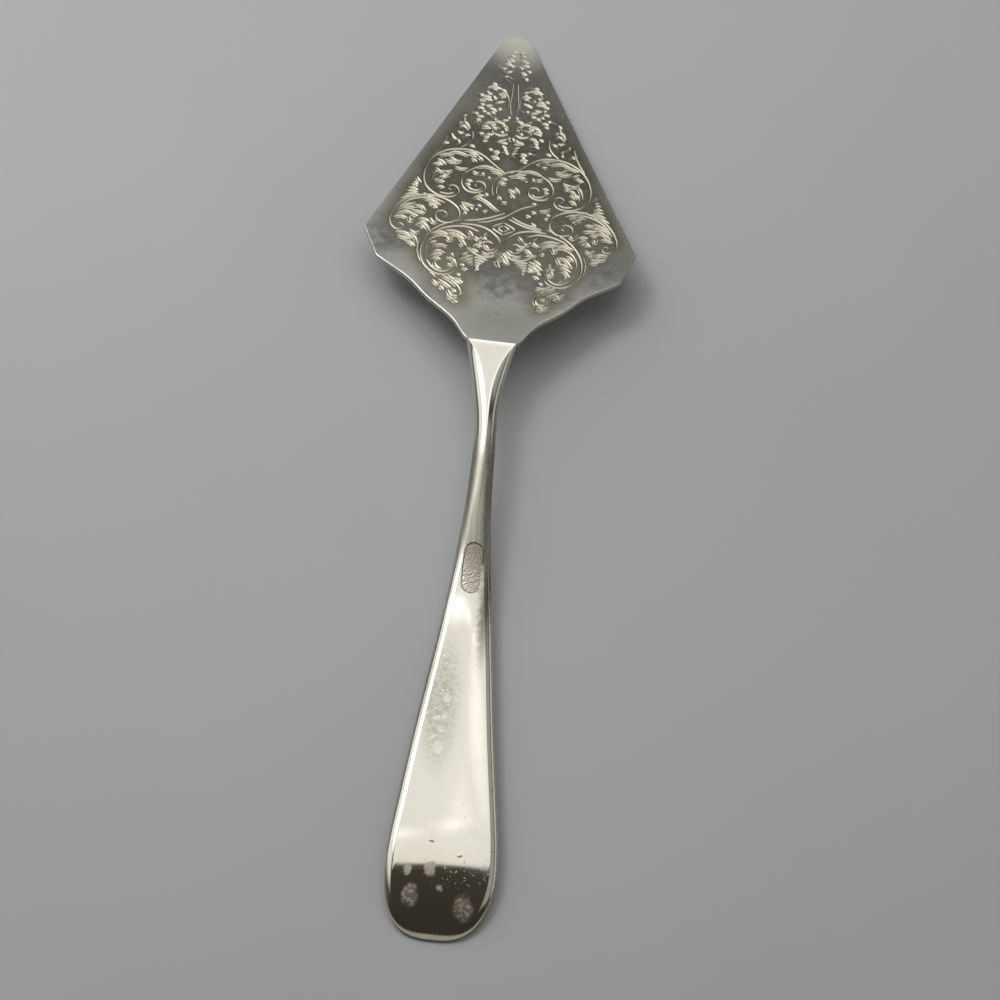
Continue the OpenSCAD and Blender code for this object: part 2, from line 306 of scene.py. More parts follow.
UPPER_SCROLL_LEAVES = [
    [(15.4, 57), (13.2, 58.1), (10.4, 57.3)], [(17.2, 56.2), (15.4, 57), (14, 56.8)],
    [(14.4, 56.2), (13.1, 55.2), (11.8, 55.3)], [(15.5, 55), (13.6, 54.5), (11.9, 55.2)],
    [(17.5, 55), (16.4, 54.4), (15.5, 53.4)], [(11.5, 59.2), (9.4, 58.8), (7.7, 57.6)],
    [(10, 58.2), (9, 57.8), (8.2, 57)], [(7.6, 57.3), (6.9, 56.7), (6.5, 55.9)],
    [(9.4, 56.3), (8.6, 56.2), (8, 55.4)], [(17.6, 51.9), (16.6, 51), (15.4, 51.3)],
    [(15.6, 51.2), (14.6, 51.3), (13.8, 51.7)], [(17.4, 51.3), (18.3, 49.4), (18.7, 47.4)],
    [(15.9, 50.4), (15.1, 49.8), (14.4, 50.4)], [(16.9, 48.6), (16, 49.4), (15.1, 49)],
    [(17.4, 47.2), (16.4, 47.9), (15.4, 47.7)], [(17.2, 45.1), (16.3, 46.1), (15.3, 45.8)],
    [(18.6, 53), (17.4, 53.6), (16.4, 53)], [(10.2, 53), (11.6, 52.7), (13, 53.1)],
    [(17.9, 46.6), (17.6, 47.8), (16.6, 48.6)], [(7.8, 53.7), (5.4, 54.4), (2.6, 53.4)],
    [(4.2, 52.9), (2.9, 52.9), (1.4, 52.3)], [(10.2, 48.9), (9.4, 49.2), (8.6, 48.8)],
    [(6.8, 51), (6.2, 51.9), (6, 50.8)], [(4.9, 51), (4.5, 50.7), (4.3, 50.4)],
    [(8.6, 52.3), (7.8, 51.8), (7.2, 52.1)], [(10.3, 47.8), (9.6, 47.9), (9, 47.5)],
]
CROSSING_LEAVES = [
    [(0.4, 47.7), (1.2, 47.3), (2, 46.6)], [(1, 46.2), (1.7, 45.6), (2.1, 44.8)],
    [(2, 48.4), (2.7, 47.6), (3.2, 46.6)],
    [(-1.8, 50), (-0.9, 49.4), (-0.2, 49.6)], [(-1.8, 50.8), (-0.9, 51), (-0.1, 50.6)],
    [(-2, 45), (-1.4, 44.4), (-1.3, 43.6)], [(-0.9, 43.4), (-0.3, 43.2), (0.3, 43.5)],
    [(6.4, 43.8), (7, 43.9), (7.5, 43.6)], [(6.4, 41.3), (7, 41.2), (7.6, 40.8)],
    [(5.1, 39.9), (5.7, 39.8), (6.3, 39.4)], [(8.5, 41.8), (10, 42.1), (10.9, 42.9)],
    [(10.1, 41), (10.6, 40.8), (11, 40.4)], [(9.4, 38.8), (10, 39.4), (10.6, 39.5)],
    [(6.6, 37.6), (7.2, 37.2), (7.8, 36.6)], [(0.4, 51.9), (2.4, 52.3), (4.3, 51.8)],
    [(-8.4, 43.2), (-7.4, 43.9), (-6, 43.6), (-4.6, 42.8), (-3, 41.4), (-1.6, 40.3)],
    [(-7.6, 44), (-6.8, 44.2), (-6, 43.8)], [(-6.8, 44.9), (-6.2, 44.7), (-5.6, 44.7)],
    [(-5.1, 45.6), (-4.7, 45.1), (-4.4, 44.6)],
    [(-10.7, 41.7), (-9.4, 41.4), (-7.8, 41)], [(-10.6, 41.2), (-9.9, 40.2), (-8.9, 39.2)],
    [(-10, 38.7), (-9.6, 38.5), (-9.2, 38.1)], [(-5.6, 39.2), (-5, 39.7), (-4.3, 39.9)],
    [(-6.9, 41.2), (-6.4, 41.4), (-5.9, 41)], [(-8.6, 40.4), (-8.1, 40.2), (-7.8, 39.8)],
    [(-7.2, 40.2), (-6.9, 39.9), (-6.8, 39.4)],
]
BUD_LEAVES = [
    [(13.5, 66.4), (12.9, 67.9), (12.1, 68.6)], [(10.6, 66.4), (11.3, 67.9), (12.1, 68.6)],
    [(13.2, 65.9), (12.1, 67.1), (11, 65.9)], [(13.3, 65), (12.6, 64.5), (11.9, 64.8)],
    [(11.6, 63.8), (11, 64), (10.4, 64.2)], [(12.4, 69.6), (12.1, 70.3), (11.6, 70.9)],
    [(12.5, 67.6), (12.1, 69), (12.0, 69.9)], [(14.8, 63.9), (14.4, 62.9), (13.6, 62.3)],
    [(16.5, 60.2), (15.9, 60.7), (15.3, 60.5)], [(13.2, 62.2), (12.8, 61.2), (13.4, 60.5)],
    [(10.2, 60.2), (9.5, 60.7), (8.9, 60.1)],
]
PALMETTE_LEAVES = [
    [(1.4, 71.4), (1.0, 71.7), (0.6, 71.4)], [(2.7, 70.0), (1.9, 70.5), (1.1, 70.8)],
    [(4.4, 69.8), (3.3, 69.8), (2.1, 69.4)], [(7.1, 68.3), (5.8, 69.2), (4.4, 69.3)],
    [(5.6, 68.2), (5.0, 68.6), (4.2, 68.7)], [(2.5, 69.1), (2.1, 68.7), (1.9, 68.1)],
    [(1.4, 66.8), (1.5, 67.4), (1.9, 68.0)], [(7.4, 66.8), (6.4, 67.3), (5.4, 67.3)],
    [(7.6, 67.5), (6.8, 67.9), (5.9, 67.8)], [(5.0, 67.9), (4.4, 67.7), (3.8, 67.1)],
    [(2.9, 66.3), (2.4, 66.5), (1.9, 66.3)], [(4.1, 65.7), (2.7, 65.2), (1.2, 65.8)],
    [(8.1, 64.7), (7.6, 65.2), (6.9, 65.2)], [(6.3, 64.8), (5.6, 65.2), (4.7, 65.2)],
    [(6.9, 64.3), (6.2, 64.5), (5.5, 64.3)], [(6.8, 63.2), (6.3, 63.8), (5.7, 64.0)],
    [(7.1, 62.3), (6.5, 62.8), (5.9, 62.9)], [(3.2, 63.1), (2.1, 63.0), (0.9, 62.7)],
    [(2.9, 63.5), (1.9, 63.6), (1.2, 64.2)], [(2.1, 62.0), (1.6, 61.4), (0.9, 61.0)],
    [(1.7, 61.0), (1.2, 60.4), (0.6, 60.1)], [(1.4, 59.9), (0.9, 59.6), (0.3, 59.2)],
    [(2.6, 59.4), (3.3, 59.7), (4.2, 59.4)], [(3.0, 59.0), (3.4, 58.6), (3.9, 58.5)],
    [(2.5, 57.2), (3.3, 57.7), (4.4, 57.9)], [(3.1, 57.2), (3.7, 57.2), (4.3, 56.9)],
    [(4.5, 59.8), (4.9, 60.2), (5.4, 60.3)], [(0.3, 64.8), (0.6, 64.2), (0.5, 63.4)],
]
ROSETTE_LEAVES = [
    [(6.0, 82.4), (5.4, 82.8), (4.7, 82.4)], [(6.9, 81.2), (5.4, 81.8), (3.8, 81.4)],
    [(3.5, 81.2), (2.7, 80.7), (2.2, 80.0)], [(5.9, 81.0), (5.3, 81.2), (4.6, 80.8)],
    [(4.0, 79.4), (3.0, 79.4), (1.9, 79.3)], [(3.3, 80.0), (2.6, 79.9), (2.0, 79.7)],
    [(3.6, 78.5), (3.0, 78.7), (2.3, 78.6)], [(6.9, 79.0), (6.4, 79.3), (5.8, 78.9)],
    [(7.1, 80.0), (6.8, 79.6), (6.6, 79.4)], [(8.9, 78.2), (8.3, 78.5), (7.8, 78.1)],
    [(8.0, 77.6), (7.1, 78.1), (6.0, 77.9)], [(8.0, 76.9), (7.0, 77.2), (5.7, 77.0)],
    [(8.9, 76.2), (8.2, 76.6), (7.4, 76.4)], [(4.6, 76.0), (3.7, 76.5), (2.6, 76.9)],
    [(4.4, 77.6), (5.0, 77.9), (5.3, 78.6)], [(8.4, 75.4), (7.9, 75.2), (7.5, 74.8)],
    [(7.0, 75.0), (6.2, 74.9), (5.5, 75.2)], [(6.1, 74.3), (5.2, 74.0), (4.3, 73.4)],
    [(4.0, 74.4), (3.5, 74.3), (3.2, 73.7)], [(5.7, 72.5), (5.1, 72.8), (4.5, 72.5)],
    [(9.1, 73.6), (8.4, 74.0), (7.5, 73.7)], [(6.9, 72.0), (6.4, 72.3), (5.8, 72.1)],
    [(9.6, 71.5), (9.2, 71.9), (8.7, 71.7)], [(9.0, 70.6), (8.3, 71.0), (7.4, 70.9)],
    [(9.2, 69.5), (8.6, 69.8), (8.0, 69.6)], [(7.9, 72.8), (7.4, 72.9), (6.9, 72.7)],
    [(4.7, 71.0), (4.4, 70.7), (4.3, 70.3)],
]
TIP_LEAVES = [
    [(0.5, 94.3), (0.9, 94.7), (1.4, 94.9)],
    [(0.7, 93.0), (1.3, 93.5), (1.9, 93.7)],
    [(0.8, 91.4), (1.5, 91.9), (2.2, 92.0)],
    [(1.6, 91.0), (2.2, 91.4), (2.9, 91.4)],
    [(1.3, 89.9), (2.2, 90.3), (3.1, 90.2)],
    [(0.6, 89.8), (1.1, 89.6), (1.6, 89.1)],
    [(2.7, 88.7), (3.2, 88.5), (3.7, 88.1)],
    [(1.2, 87.8), (1.9, 87.5), (2.6, 87.1)],
    [(2.2, 86.1), (2.6, 85.7), (3.0, 85.1)],
]

STEMS = LOWER_SCROLL_STEMS + SIDE_SCROLL_STEMS + UPPER_SCROLL_STEMS
THIN_STEMS = TIP_STEMS + DIAMOND_STEMS
LEAVES = LOWER_SCROLL_LEAVES + LOWER_TRAIL_LEAVES + LOWER_MIDDLE_LEAVES
LEAVES += SIDE_SCROLL_LEAVES + UPPER_SCROLL_LEAVES
BROAD_LEAVES = BUD_LEAVES + PALMETTE_LEAVES + ROSETTE_LEAVES + TIP_LEAVES


# Shared shape helpers
def mix(a, b, u):
    return a + (b - a) * u


def clamp(u):
    return min(max(u, 0.0), 1.0)


def ease(u):
    return (1 - math.cos(math.pi * clamp(u))) / 2


def round_off(u):
    return max(1 - clamp(u) ** ROUND_POWER, 0.0) ** (1 / ROUND_POWER)


def sweep(bm, rings):
    """Extrudes the first ring from section to section; gives the verts of the first and the last."""
    first = verts = [bm.verts.new(p) for p in rings[0]]
    edges = [bm.edges.new((a, b)) for a, b in zip(verts, verts[1:] + verts[:1])]
    for ring in rings[1:]:
        made = bmesh.ops.extrude_edge_only(bm, edges=edges)["geom"]
        edges = [e for e in made if isinstance(e, bmesh.types.BMEdge)]
        fresh = set(v for e in edges for v in e.verts)
        follows = {}
        for v in fresh:
            for e in v.link_edges:
                if e.other_vert(v) not in fresh:
                    follows[e.other_vert(v)] = v
        verts = [follows[v] for v in verts]
        for v, p in zip(verts, ring):
            v.co = p
        edges = [bm.edges.get((a, b)) for a, b in zip(verts, verts[1:] + verts[:1])]
    return first, verts


def scene_object(name, bm, material):
    """Makes a finished bmesh an object of the scene."""
    mesh = bpy.data.meshes.new(name)
    bm.to_mesh(mesh)
    bm.free()
    mesh.materials.append(material)
    made = bpy.data.objects.new(name, mesh)
    bpy.context.scene.collection.objects.link(made)
    return made


def finish_piece(name, bm, node, material):
    """Scales the mesh to metres and puts it in place of its CAD node."""
    bmesh.ops.scale(bm, vec=(MM, MM, MM), verts=bm.verts)
    piece = scene_object(name, bm, material)
    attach(piece, "root")
    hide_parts(node)


def on_blade_slope():
    """From flat, with the rear edge at zero, to the slope of the blade's underside."""
    tilt = Matrix.Rotation(-BLADE_SLOPE, 4, "X")
    return Matrix.Translation((0, TIP_Y, 0)) @ tilt @ Matrix.Translation((0, -BLADE_LENGTH, 0))


# Blade
def rounded_corner(a, b, c, radius, steps=10):
    """Arc that rounds the corner b between a and c."""
    u = (a - b).normalized()
    v = (c - b).normalized()
    half = u.angle(v) / 2
    centre = b + (u + v).normalized() * radius / math.sin(half)
    start = b + u * radius / math.tan(half) - centre
    turn = math.copysign(math.pi - 2 * half, -(u.x * v.y - u.y * v.x))
    return [centre + Matrix.Rotation(turn * i / steps, 2) @ start for i in range(steps + 1)]


def scalloped_edge(u):
    corner = Vector((CORNER_WIDTH / 2, CORNER_REACH))
    neck = Vector((NECK_WIDTH / 2, 0))
    hollow = EDGE_HOLLOW * math.sin(math.pi * u) + SCALLOP_DEPTH * (1 - math.cos(4 * math.pi * u)) / 2
    return corner.lerp(neck, u) - Vector((hollow, 0))


def blade_outline(arc_steps=16, edge_steps=72, corner_share=1 / 15):
    """The blade seen from above, from the tip down its right side and back up its left."""
    shoulder = Vector((BLADE_WIDTH / 2, SHOULDER_REACH))
    corner = Vector((CORNER_WIDTH / 2, CORNER_REACH))
    centre = Vector((0, BLADE_LENGTH - TIP_RADIUS))
    arm = shoulder - centre
    turn = math.atan2(arm.y, arm.x) + math.acos(TIP_RADIUS / arm.length)
    tip = []
    for i in range(arc_steps + 1):
        angle = (math.pi / 2 - turn) * i / arc_steps
        tip.append(centre + TIP_RADIUS * Vector((math.sin(angle), math.cos(angle))))
    first_step = round(corner_share * edge_steps)
    edge = [scalloped_edge(i / edge_steps) for i in range(first_step, edge_steps + 1)]
    half = tip + rounded_corner(tip[-1], shoulder, corner, SHOULDER_RADIUS)
    half += rounded_corner(shoulder, corner, edge[0], CORNER_RADIUS) + edge[1:]
    return half + [Vector((-p.x, p.y)) for p in reversed(half[1:])]


def smooth_path(points):
    """Points at even steps on a smooth curve through the given ones."""
    knots = [Vector(p) for p in points]
    knots = [2 * knots[0] - knots[1]] + knots + [2 * knots[-1] - knots[-2]]
    path = []
    for a, b, c, d in zip(knots, knots[1:], knots[2:], knots[3:]):
        steps = max(2, round((c - b).length / CUT_STEP))
        for i in range(steps):
            t = i / steps
            path.append(0.5 * (2 * b + (c - a) * t + (2 * a - 5 * b + 4 * c - d) * t * t
                               + (3 * b - a - 3 * c + d) * t ** 3))
    return path + [knots[-2]]


def swelling(share, fullness):
    """Width of a stroke along its length, running out at both ends."""
    return max(math.sin(math.pi * share), 0.0) ** fullness


def cut_depth(offset, reach):
    """Depth of a cut at an offset from its middle; its deepest line leans to the rear."""
    lean = Vector((0, -CUT_LEAN * reach))
    off = offset - lean
    rest = reach ** 2 - lean.length_squared
    slant = off.dot(lean)
    share = (slant + math.sqrt(slant ** 2 + rest * off.length_squared)) / rest
    return CUT_SLOPE * reach * (1 + CUT_LEAN) * (1 - share)


def half_widths(path, width, fullness):
    """Half widths along a stroke, which runs out to a point at both ends."""
    run = [0.0]
    for a, b in zip(path, path[1:]):
        run.append(run[-1] + (b - a).length)
    return [max(min(width / 2 * swelling(s / run[-1], fullness), s, run[-1] - s), LEAST_HALF) for s in run]


def stretched(points):
    """A leaf stroke made longer at both ends."""
    knots = [Vector(p) for p in points]
    return ([knots[0] + (knots[0] - knots[1]) * LEAF_STRETCH] + knots[1:-1]
            + [knots[-1] + (knots[-1] - knots[-2]) * LEAF_STRETCH])


def vein(path):
    """A fine cut beside a leaf stroke, on its rear side and a little shorter."""
    points = []
    for before, p, after in zip(path, path[1:], path[2:]):
        along = (after - before).normalized()
        aside = Vector((along.y, -along.x))
        points.append(p + aside * math.copysign(VEIN_GAP, -aside.y))
    return points


def ornament_strokes():
    """Path and half widths of every stroke: the crossing's once, the others on both sides."""
    strokes = []
    once, twice = (1,), (1, -1)
    for group, width, fullness, sides in (
            (CROSSING_STEMS, STEM_WIDTH, STEM_FULLNESS, once),
            (map(stretched, CROSSING_LEAVES), LEAF_WIDTH, LEAF_FULLNESS, once),
            (STEMS, STEM_WIDTH, STEM_FULLNESS, twice),
            (THIN_STEMS, THIN_WIDTH, STEM_FULLNESS, twice),
            (map(stretched, LEAVES), LEAF_WIDTH, LEAF_FULLNESS, twice),
            (map(stretched, BROAD_LEAVES), BROAD_WIDTH, BROAD_FULLNESS, twice)):
        for path in map(smooth_path, group):
            cuts = [(path, half_widths(path, width, fullness))]
            if width == LEAF_WIDTH and len(path) > VEINED_POINTS:
                fine = vein(path)
                cuts.append((fine, half_widths(fine, VEIN_WIDTH, fullness)))
            for line, halves in cuts:
                for side in sides:
                    strokes.append(([Vector((ORNAMENT_AXIS + side * p.x, p.y)) for p in line], halves))
    return strokes


def engrave(bm, outline, strokes, cut, worked):
    """Fills the outline with a flat face that has a slanting V cut along every stroke."""
    points = [v.co.xy for v in outline]
    edges = [(i, (i + 1) % len(points)) for i in range(len(points))]
    spine = KDTree(sum(len(path) for path, _ in strokes))
    reach = []
    for path, halves in strokes:
        first = len(points)
        count = len(path)
        along = [path[min(i + 1, count - 1)] - path[max(i - 1, 0)] for i in range(count)]
        aside = [Vector((-t.y, t.x)).normalized() * half for t, half in zip(along, halves)]
        for p, half in zip(path, halves):
            spine.insert(p.to_3d(), len(reach))
            reach.append(half)
        left = [p + a for p, a in zip(path, aside)]
        right = [p - a for p, a in zip(path, aside)]
        points += [p - Vector((0, CUT_LEAN * half)) for p, half in zip(path, halves)] + left + right
        for row in range(3):
            start = first + row * count
            edges += [(start + i, start + i + 1) for i in range(count - 1)]
        for end in (0, count - 1):
            edges += [(first + end, first + count + end), (first + end, first + 2 * count + end)]
    spine.balance()
    lows = [min(v.co[k] for v in outline) for k in (0, 1)]
    highs = [max(v.co[k] for v in outline) for k in (0, 1)]
    for i in range(1, int((highs[0] - lows[0]) / GROUND_STEP)):
        for j in range(1, int((highs[1] - lows[1]) / GROUND_STEP)):
            points.append(Vector((lows[0] + i * GROUND_STEP, lows[1] + j * GROUND_STEP)))
    inside_only, tolerance = 1, 1e-5
    flat, _, faces, sources, _, _ = delaunay_2d_cdt(points, edges, [], inside_only, tolerance)
    widest = max(reach)
    verts = []
    for p, source in zip(flat, sources):
        rim = [i for i in source if i < len(outline)]
        if rim:
            verts.append(outline[rim[0]])
            continue
        near = spine.find_range(p.to_3d(), widest)
        depth = max([cut_depth(p - middle.xy, reach[i]) for middle, i, _ in near] + [0])
        v = bm.verts.new((p.x, p.y, BLADE_THICKNESS - depth))
        v[cut] = depth
        v[worked] = math.exp(-(spine.find(p.to_3d())[2] / WORKED_REACH) ** 2)
        verts.append(v)
    for face in faces:
        bm.faces.new([verts[i] for i in face])


def edge_rings(outline):
    """Rings up the blade's edge, from underside to top, and how far each place faces the rear."""
    count = len(outline)
    inward = []
    rear = []
    for i, p in enumerate(outline):
        sides = [(p - outline[i - 1]).normalized(), (outline[(i + 1) % count] - p).normalized()]
        first, second = [Vector((side.y, -side.x)) for side in sides]
        inward.append((first + second) / (1 + first.dot(second)))
        rear.append(ease((first.y + second.y - REAR_START) / REAR_RUN))
    rings = []
    for angle in LOWER_ANGLES:
        width = LOWER_ROUND * (1 - math.sin(angle))
        height = LOWER_ROUND * (1 - math.cos(angle))
        rings.append([(p + n * width).to_3d() + Vector((0, 0, height)) for p, n in zip(outline, inward)])
    for i in range(UPPER_STEPS + 1):
        angle = math.pi / 2 * i / UPPER_STEPS
        ring = []
        for p, n, share in zip(outline, inward, rear):
            rear_round = NECK_ROUND if p.y < NECK_LINE else REAR_ROUND
            width = mix(SIDE_ROUND[0], rear_round[0], share) * (1 - math.cos(angle))
            drop = mix(SIDE_ROUND[1], rear_round[1], share) * (1 - math.sin(angle))
            ring.append((p + n * width).to_3d() + Vector((0, 0, BLADE_THICKNESS - drop)))
        rings.append(ring)
    return rings, rear


def make_blade(material):
    bm = bmesh.new()
    cut = bm.verts.layers.float.new("cut")
    worked = bm.verts.layers.float.new("worked")
    rim = bm.verts.layers.float.new("rim")
    rings, rear = edge_rings(blade_outline())
    first, last = sweep(bm, rings)
    bm.faces.new(first)
    top_verts = set(last)
    edge_verts = [v for v in bm.verts if v not in top_verts]
    near = KDTree(len(first))
    for i, v in enumerate(first):
        near.insert(v.co, i)
    near.balance()
    for v in edge_verts:
        v[rim] = rear[near.find((v.co.x, v.co.y, 0))[1]]
    bmesh.ops.recalc_face_normals(bm, faces=bm.faces)
    for face in bm.faces:
        face.smooth = len(face.verts) == 4
    engrave(bm, last, ornament_strokes(), cut, worked)
    bmesh.ops.recalc_face_normals(bm, faces=bm.faces)
    bmesh.ops.transform(bm, matrix=on_blade_slope(), verts=bm.verts)
    finish_piece("blade_plate", bm, "blade", material)


# Handle
def tapered(d):
    x = d - TAPER_START
    return (x + math.hypot(x, TAPER_BEND)) / 2


def end_round(d):
    return round_off((d - HANDLE_LENGTH) / ROUND_END_LENGTH + 1)


WIDEST = HANDLE_LENGTH - WIDEST_SETBACK
TAPER = (GRIP_WIDTH / 2 / end_round(WIDEST) - WAIST_HALF) / (tapered(WIDEST) - tapered(WAIST_DISTANCE))


def half_width(d):
    if d < 0:
        return HANDLE_NECK * round_off(-d / TONGUE_LENGTH)
    if d < WAIST_DISTANCE:
        return mix(WAIST_HALF, HANDLE_NECK, (1 - d / WAIST_DISTANCE) ** 2)
    return (WAIST_HALF + TAPER * (tapered(d) - tapered(WAIST_DISTANCE))) * end_round(d)


def top_height(d):
    if d < STEP_GAP:
        return NECK_Z + d * math.tan(BLADE_SLOPE)
    if d < CREST_DISTANCE:
        return mix(CREST_Z, NECK_Z + STEP_HEIGHT, (1 - d / CREST_DISTANCE) ** 2)
    turn = (GRIP_HEIGHT - END_THICKNESS) * clamp((d - HANDLE_LENGTH) / TURN_LENGTH + 1) ** 2
    return mix(CREST_Z, GRIP_HEIGHT, ease((d - CREST_DISTANCE) / FALL_LENGTH)) - turn


def thickness(d):
    if d < STEP_GAP:
        return mix(NECK_THICKNESS, TONGUE_FRONT_THICKNESS, -d / TONGUE_LENGTH)
    if d < WAIST_DISTANCE:
        return mix(NECK_THICKNESS + STEP_HEIGHT, WAIST_THICKNESS, ease(d / WAIST_DISTANCE))
    shank = mix(WAIST_THICKNESS, GRIP_THICKNESS, ease((d - WAIST_DISTANCE) / FALL_LENGTH))
    return mix(shank, END_THICKNESS, ease((d - HANDLE_LENGTH) / TURN_LENGTH + 1))


def grip_share(d):
    """How far the round waist has turned into the flat grip."""
    return ease((d - WAIST_DISTANCE) / FALL_LENGTH)


def flank(d):
    if d < STEP_GAP:
        return TONGUE_EDGE
    if d < WAIST_DISTANCE:
        return half_width(d) - (HANDLE_NECK - TONGUE_EDGE) * math.exp(-d / FACET_TURN)
    return mix(WAIST_HALF, RIM_WIDTH, grip_share(d))


def crease(d):
    """Angle between the flat top and the flank where they meet."""
    if d < STEP_GAP:
        return 0.0
    return FACET_CREASE * ease(1 - (d - WAIST_DISTANCE) / RIDGE_FADE)


def bend(d):
    """How far the handle's middle line lies to the right."""
    out, back, skew = [ease((d - start) / length) for start, length in (BEND_OUT, BEND_BACK, SKEW_TURN)]
    return BEND * (out - back) - END_SKEW * skew


def cartouche_share(x, d):
    """How deep the cartouche is sunk at a place: 0 outside, 1 on its floor."""
    along = max(abs(d - CARTOUCHE_DISTANCE) - (CARTOUCHE_LENGTH - CARTOUCHE_WIDTH) / 2, 0)
    inside = CARTOUCHE_WIDTH / 2 - math.hypot(x, along)
    return ease(inside / CARTOUCHE_WALL)


def facet_highlight_share(x, d):
    """How near a place lies to the edges of the facet behind the blade, which carry a painted highlight."""
    if not STEP_GAP / 2 < d < WAIST_DISTANCE + BRIGHT_REACH:
        return 0.0
    flat = max(half_width(d) - flank(d), LEAST_FLAT)
    side = math.exp(-((flat - abs(x)) / BRIGHT_LINE) ** 2)
    side *= ease((WAIST_DISTANCE + BRIGHT_REACH - d) / BRIGHT_FADE)
    front = math.exp(-((d - STEP_GAP) / BRIGHT_NECK) ** 2) if abs(x) < flat else 0.0
    return max(side, front)


def handle_places():
    """Distances behind the blade at which the handle's sections stand, close together where it turns."""
    def even(start, end, step):
        count = round((end - start) / step)
        return [mix(start, end, i / count) for i in range(count)]

    def rounded(turns):
        return [math.sin(math.pi / 2 * i / turns) ** (2 / ROUND_POWER) for i in range(turns)]

    cartouche_reach = CARTOUCHE_LENGTH / 2 + CARTOUCHE_MARGIN
    cartouche_start = CARTOUCHE_DISTANCE - cartouche_reach
    cartouche_end = CARTOUCHE_DISTANCE + cartouche_reach
    round_start = HANDLE_LENGTH - ROUND_END_LENGTH
    places = [-TONGUE_LENGTH * u for u in reversed(rounded(TONGUE_SECTIONS))][:-1] + [STEP_GAP / 2]
    for start, end, step in (
            (STEP_GAP, STEP_ZONE, STEP_SPACING), (STEP_ZONE, WAIST_DISTANCE, FACET_SPACING),
            (WAIST_DISTANCE, cartouche_start, SHANK_SPACING),
            (cartouche_start, cartouche_end, CARTOUCHE_SPACING),
            (cartouche_end, round_start, GRIP_SPACING)):
        places += even(start, end, step)
    places += [round_start + ROUND_END_LENGTH * u for u in rounded(END_SECTIONS)]
    return [d for d in places if d < HANDLE_END]


def handle_section(d, closed=False, flank_steps=14, flat_steps=48, bottom_steps=6):
    """One section across the handle, from its right side over the top and back underneath."""
    step = 0.004
    half = half_width(d)
    grip = grip_share(d)
    steepness = (half_width(d + step) - half_width(d - step)) / (2 * step)
    turning = ease((d - WAIST_DISTANCE) / OUTWARD_RUN) if d > 0 else 1
    outward = Vector((1, -steepness * turning)).normalized()
    if closed:
        half = 0
        outward = Vector((0, math.copysign(1, d)))
    endward = abs(outward.y) * grip
    inset = flank(d) * mix(1, END_RIM_SHARE, endward)
    lower_inset = max(RIM_WIDTH * EDGE_SHARE, TONGUE_EDGE if d < STEP_GAP else flank(d) * EDGE_SHARE)
    if abs(outward.y) < SIDEWAYS:
        room = max(half - LEAST_FLAT, 0)
        inset, lower_inset = min(inset, room), min(lower_inset, room)
    crown = CROWN * (end_round(d) if d > 0 else 1)
    bulge = 2 / mix(RIM_POWER, END_RIM_POWER, endward)

    def place(x, along, drop):
        return Vector((x, NECK_Y - along, top_height(along) - drop))

    top_angle = math.pi / 2 - crease(d)
    ring = []
    for i in range(flank_steps):
        angle = top_angle * i / flank_steps
        turned = math.pi / 2 * i / flank_steps
        share = mix((1 - math.cos(angle)) / (1 - math.cos(top_angle)), 1 - math.cos(turned) ** bulge, grip)
        rise = mix(math.sin(angle) / math.sin(top_angle), math.sin(turned) ** bulge, grip)
        x = max(half - outward.x * inset * share, 0)
        along = d - outward.y * inset * share
        bow = crown * grip_share(along)
        side = thickness(along) * (1 - EDGE_SHARE) - bow
        ring.append(place(x, along, bow + side * (1 - rise)))
    flat_x = max(half - outward.x * inset, 0)
    flat_d = d - outward.y * inset
    for i in range(flat_steps + 1):
        across = 1 - 2 * i / flat_steps
        x = flat_x * across
        sunk = CARTOUCHE_DEPTH * cartouche_share(x, flat_d)
        ring.append(place(x, flat_d, crown * grip_share(flat_d) * across ** 2 + sunk))
    ring += [Vector((-p.x, p.y, p.z)) for p in reversed(ring[:flank_steps])]
    lower = []
    for i in range(1, flank_steps + 1):
        angle = math.pi / 2 * i / flank_steps
        share = 1 - math.cos(angle)
        along = d - outward.y * lower_inset * share
        drop = thickness(along) * (1 - EDGE_SHARE + EDGE_SHARE * math.sin(angle))
        lower.append(place(max(half - outward.x * lower_inset * share, 0), along, drop))
    ring += [Vector((-p.x, p.y, p.z)) for p in lower]
    right, left = lower[-1], Vector((-lower[-1].x, lower[-1].y, lower[-1].z))
    ring += [left.lerp(right, i / bottom_steps) for i in range(1, bottom_steps)]
    ring += reversed(lower)
    return [Vector((p.x + bend(NECK_Y - p.y), p.y, p.z)) for p in ring]


def make_handle(material):
    bm = bmesh.new()
    rings = [handle_section(-TONGUE_LENGTH, closed=True)]
    rings += [handle_section(d) for d in handle_places()]
    rings += [handle_section(HANDLE_END, closed=True)]
    sweep(bm, rings)
    bmesh.ops.remove_doubles(bm, verts=bm.verts, dist=MERGE_DISTANCE)
    bmesh.ops.dissolve_degenerate(bm, dist=SHORTEST_EDGE, edges=bm.edges)
    bmesh.ops.recalc_face_normals(bm, faces=bm.faces)
    sunk = bm.verts.layers.float.new("sunk")
    # Painted highlight along the facet's edges, kept per vertex
    facet_edge_highlight = bm.verts.layers.float.new("facet_edge_highlight")
    for v in bm.verts:
        d = NECK_Y - v.co.y
        if abs(d - STEP_GAP) < STEP_TOLERANCE and v.co.z > NECK_Z:
            v.co.y += STEP_LEAN * (v.co.z - NECK_Z)
        if v.normal.z > 0:
            v[sunk] = cartouche_share(v.co.x - bend(d), d)
            v[facet_edge_highlight] = facet_highlight_share(v.co.x - bend(d), d)
    for face in bm.faces:
        face.smooth = True
    for edge in bm.edges:
        edge.smooth = len(edge.link_faces) == 2 and edge.calc_face_angle(0) < SHARP_ANGLE
    finish_piece("handle_plate", bm, "handle", material)


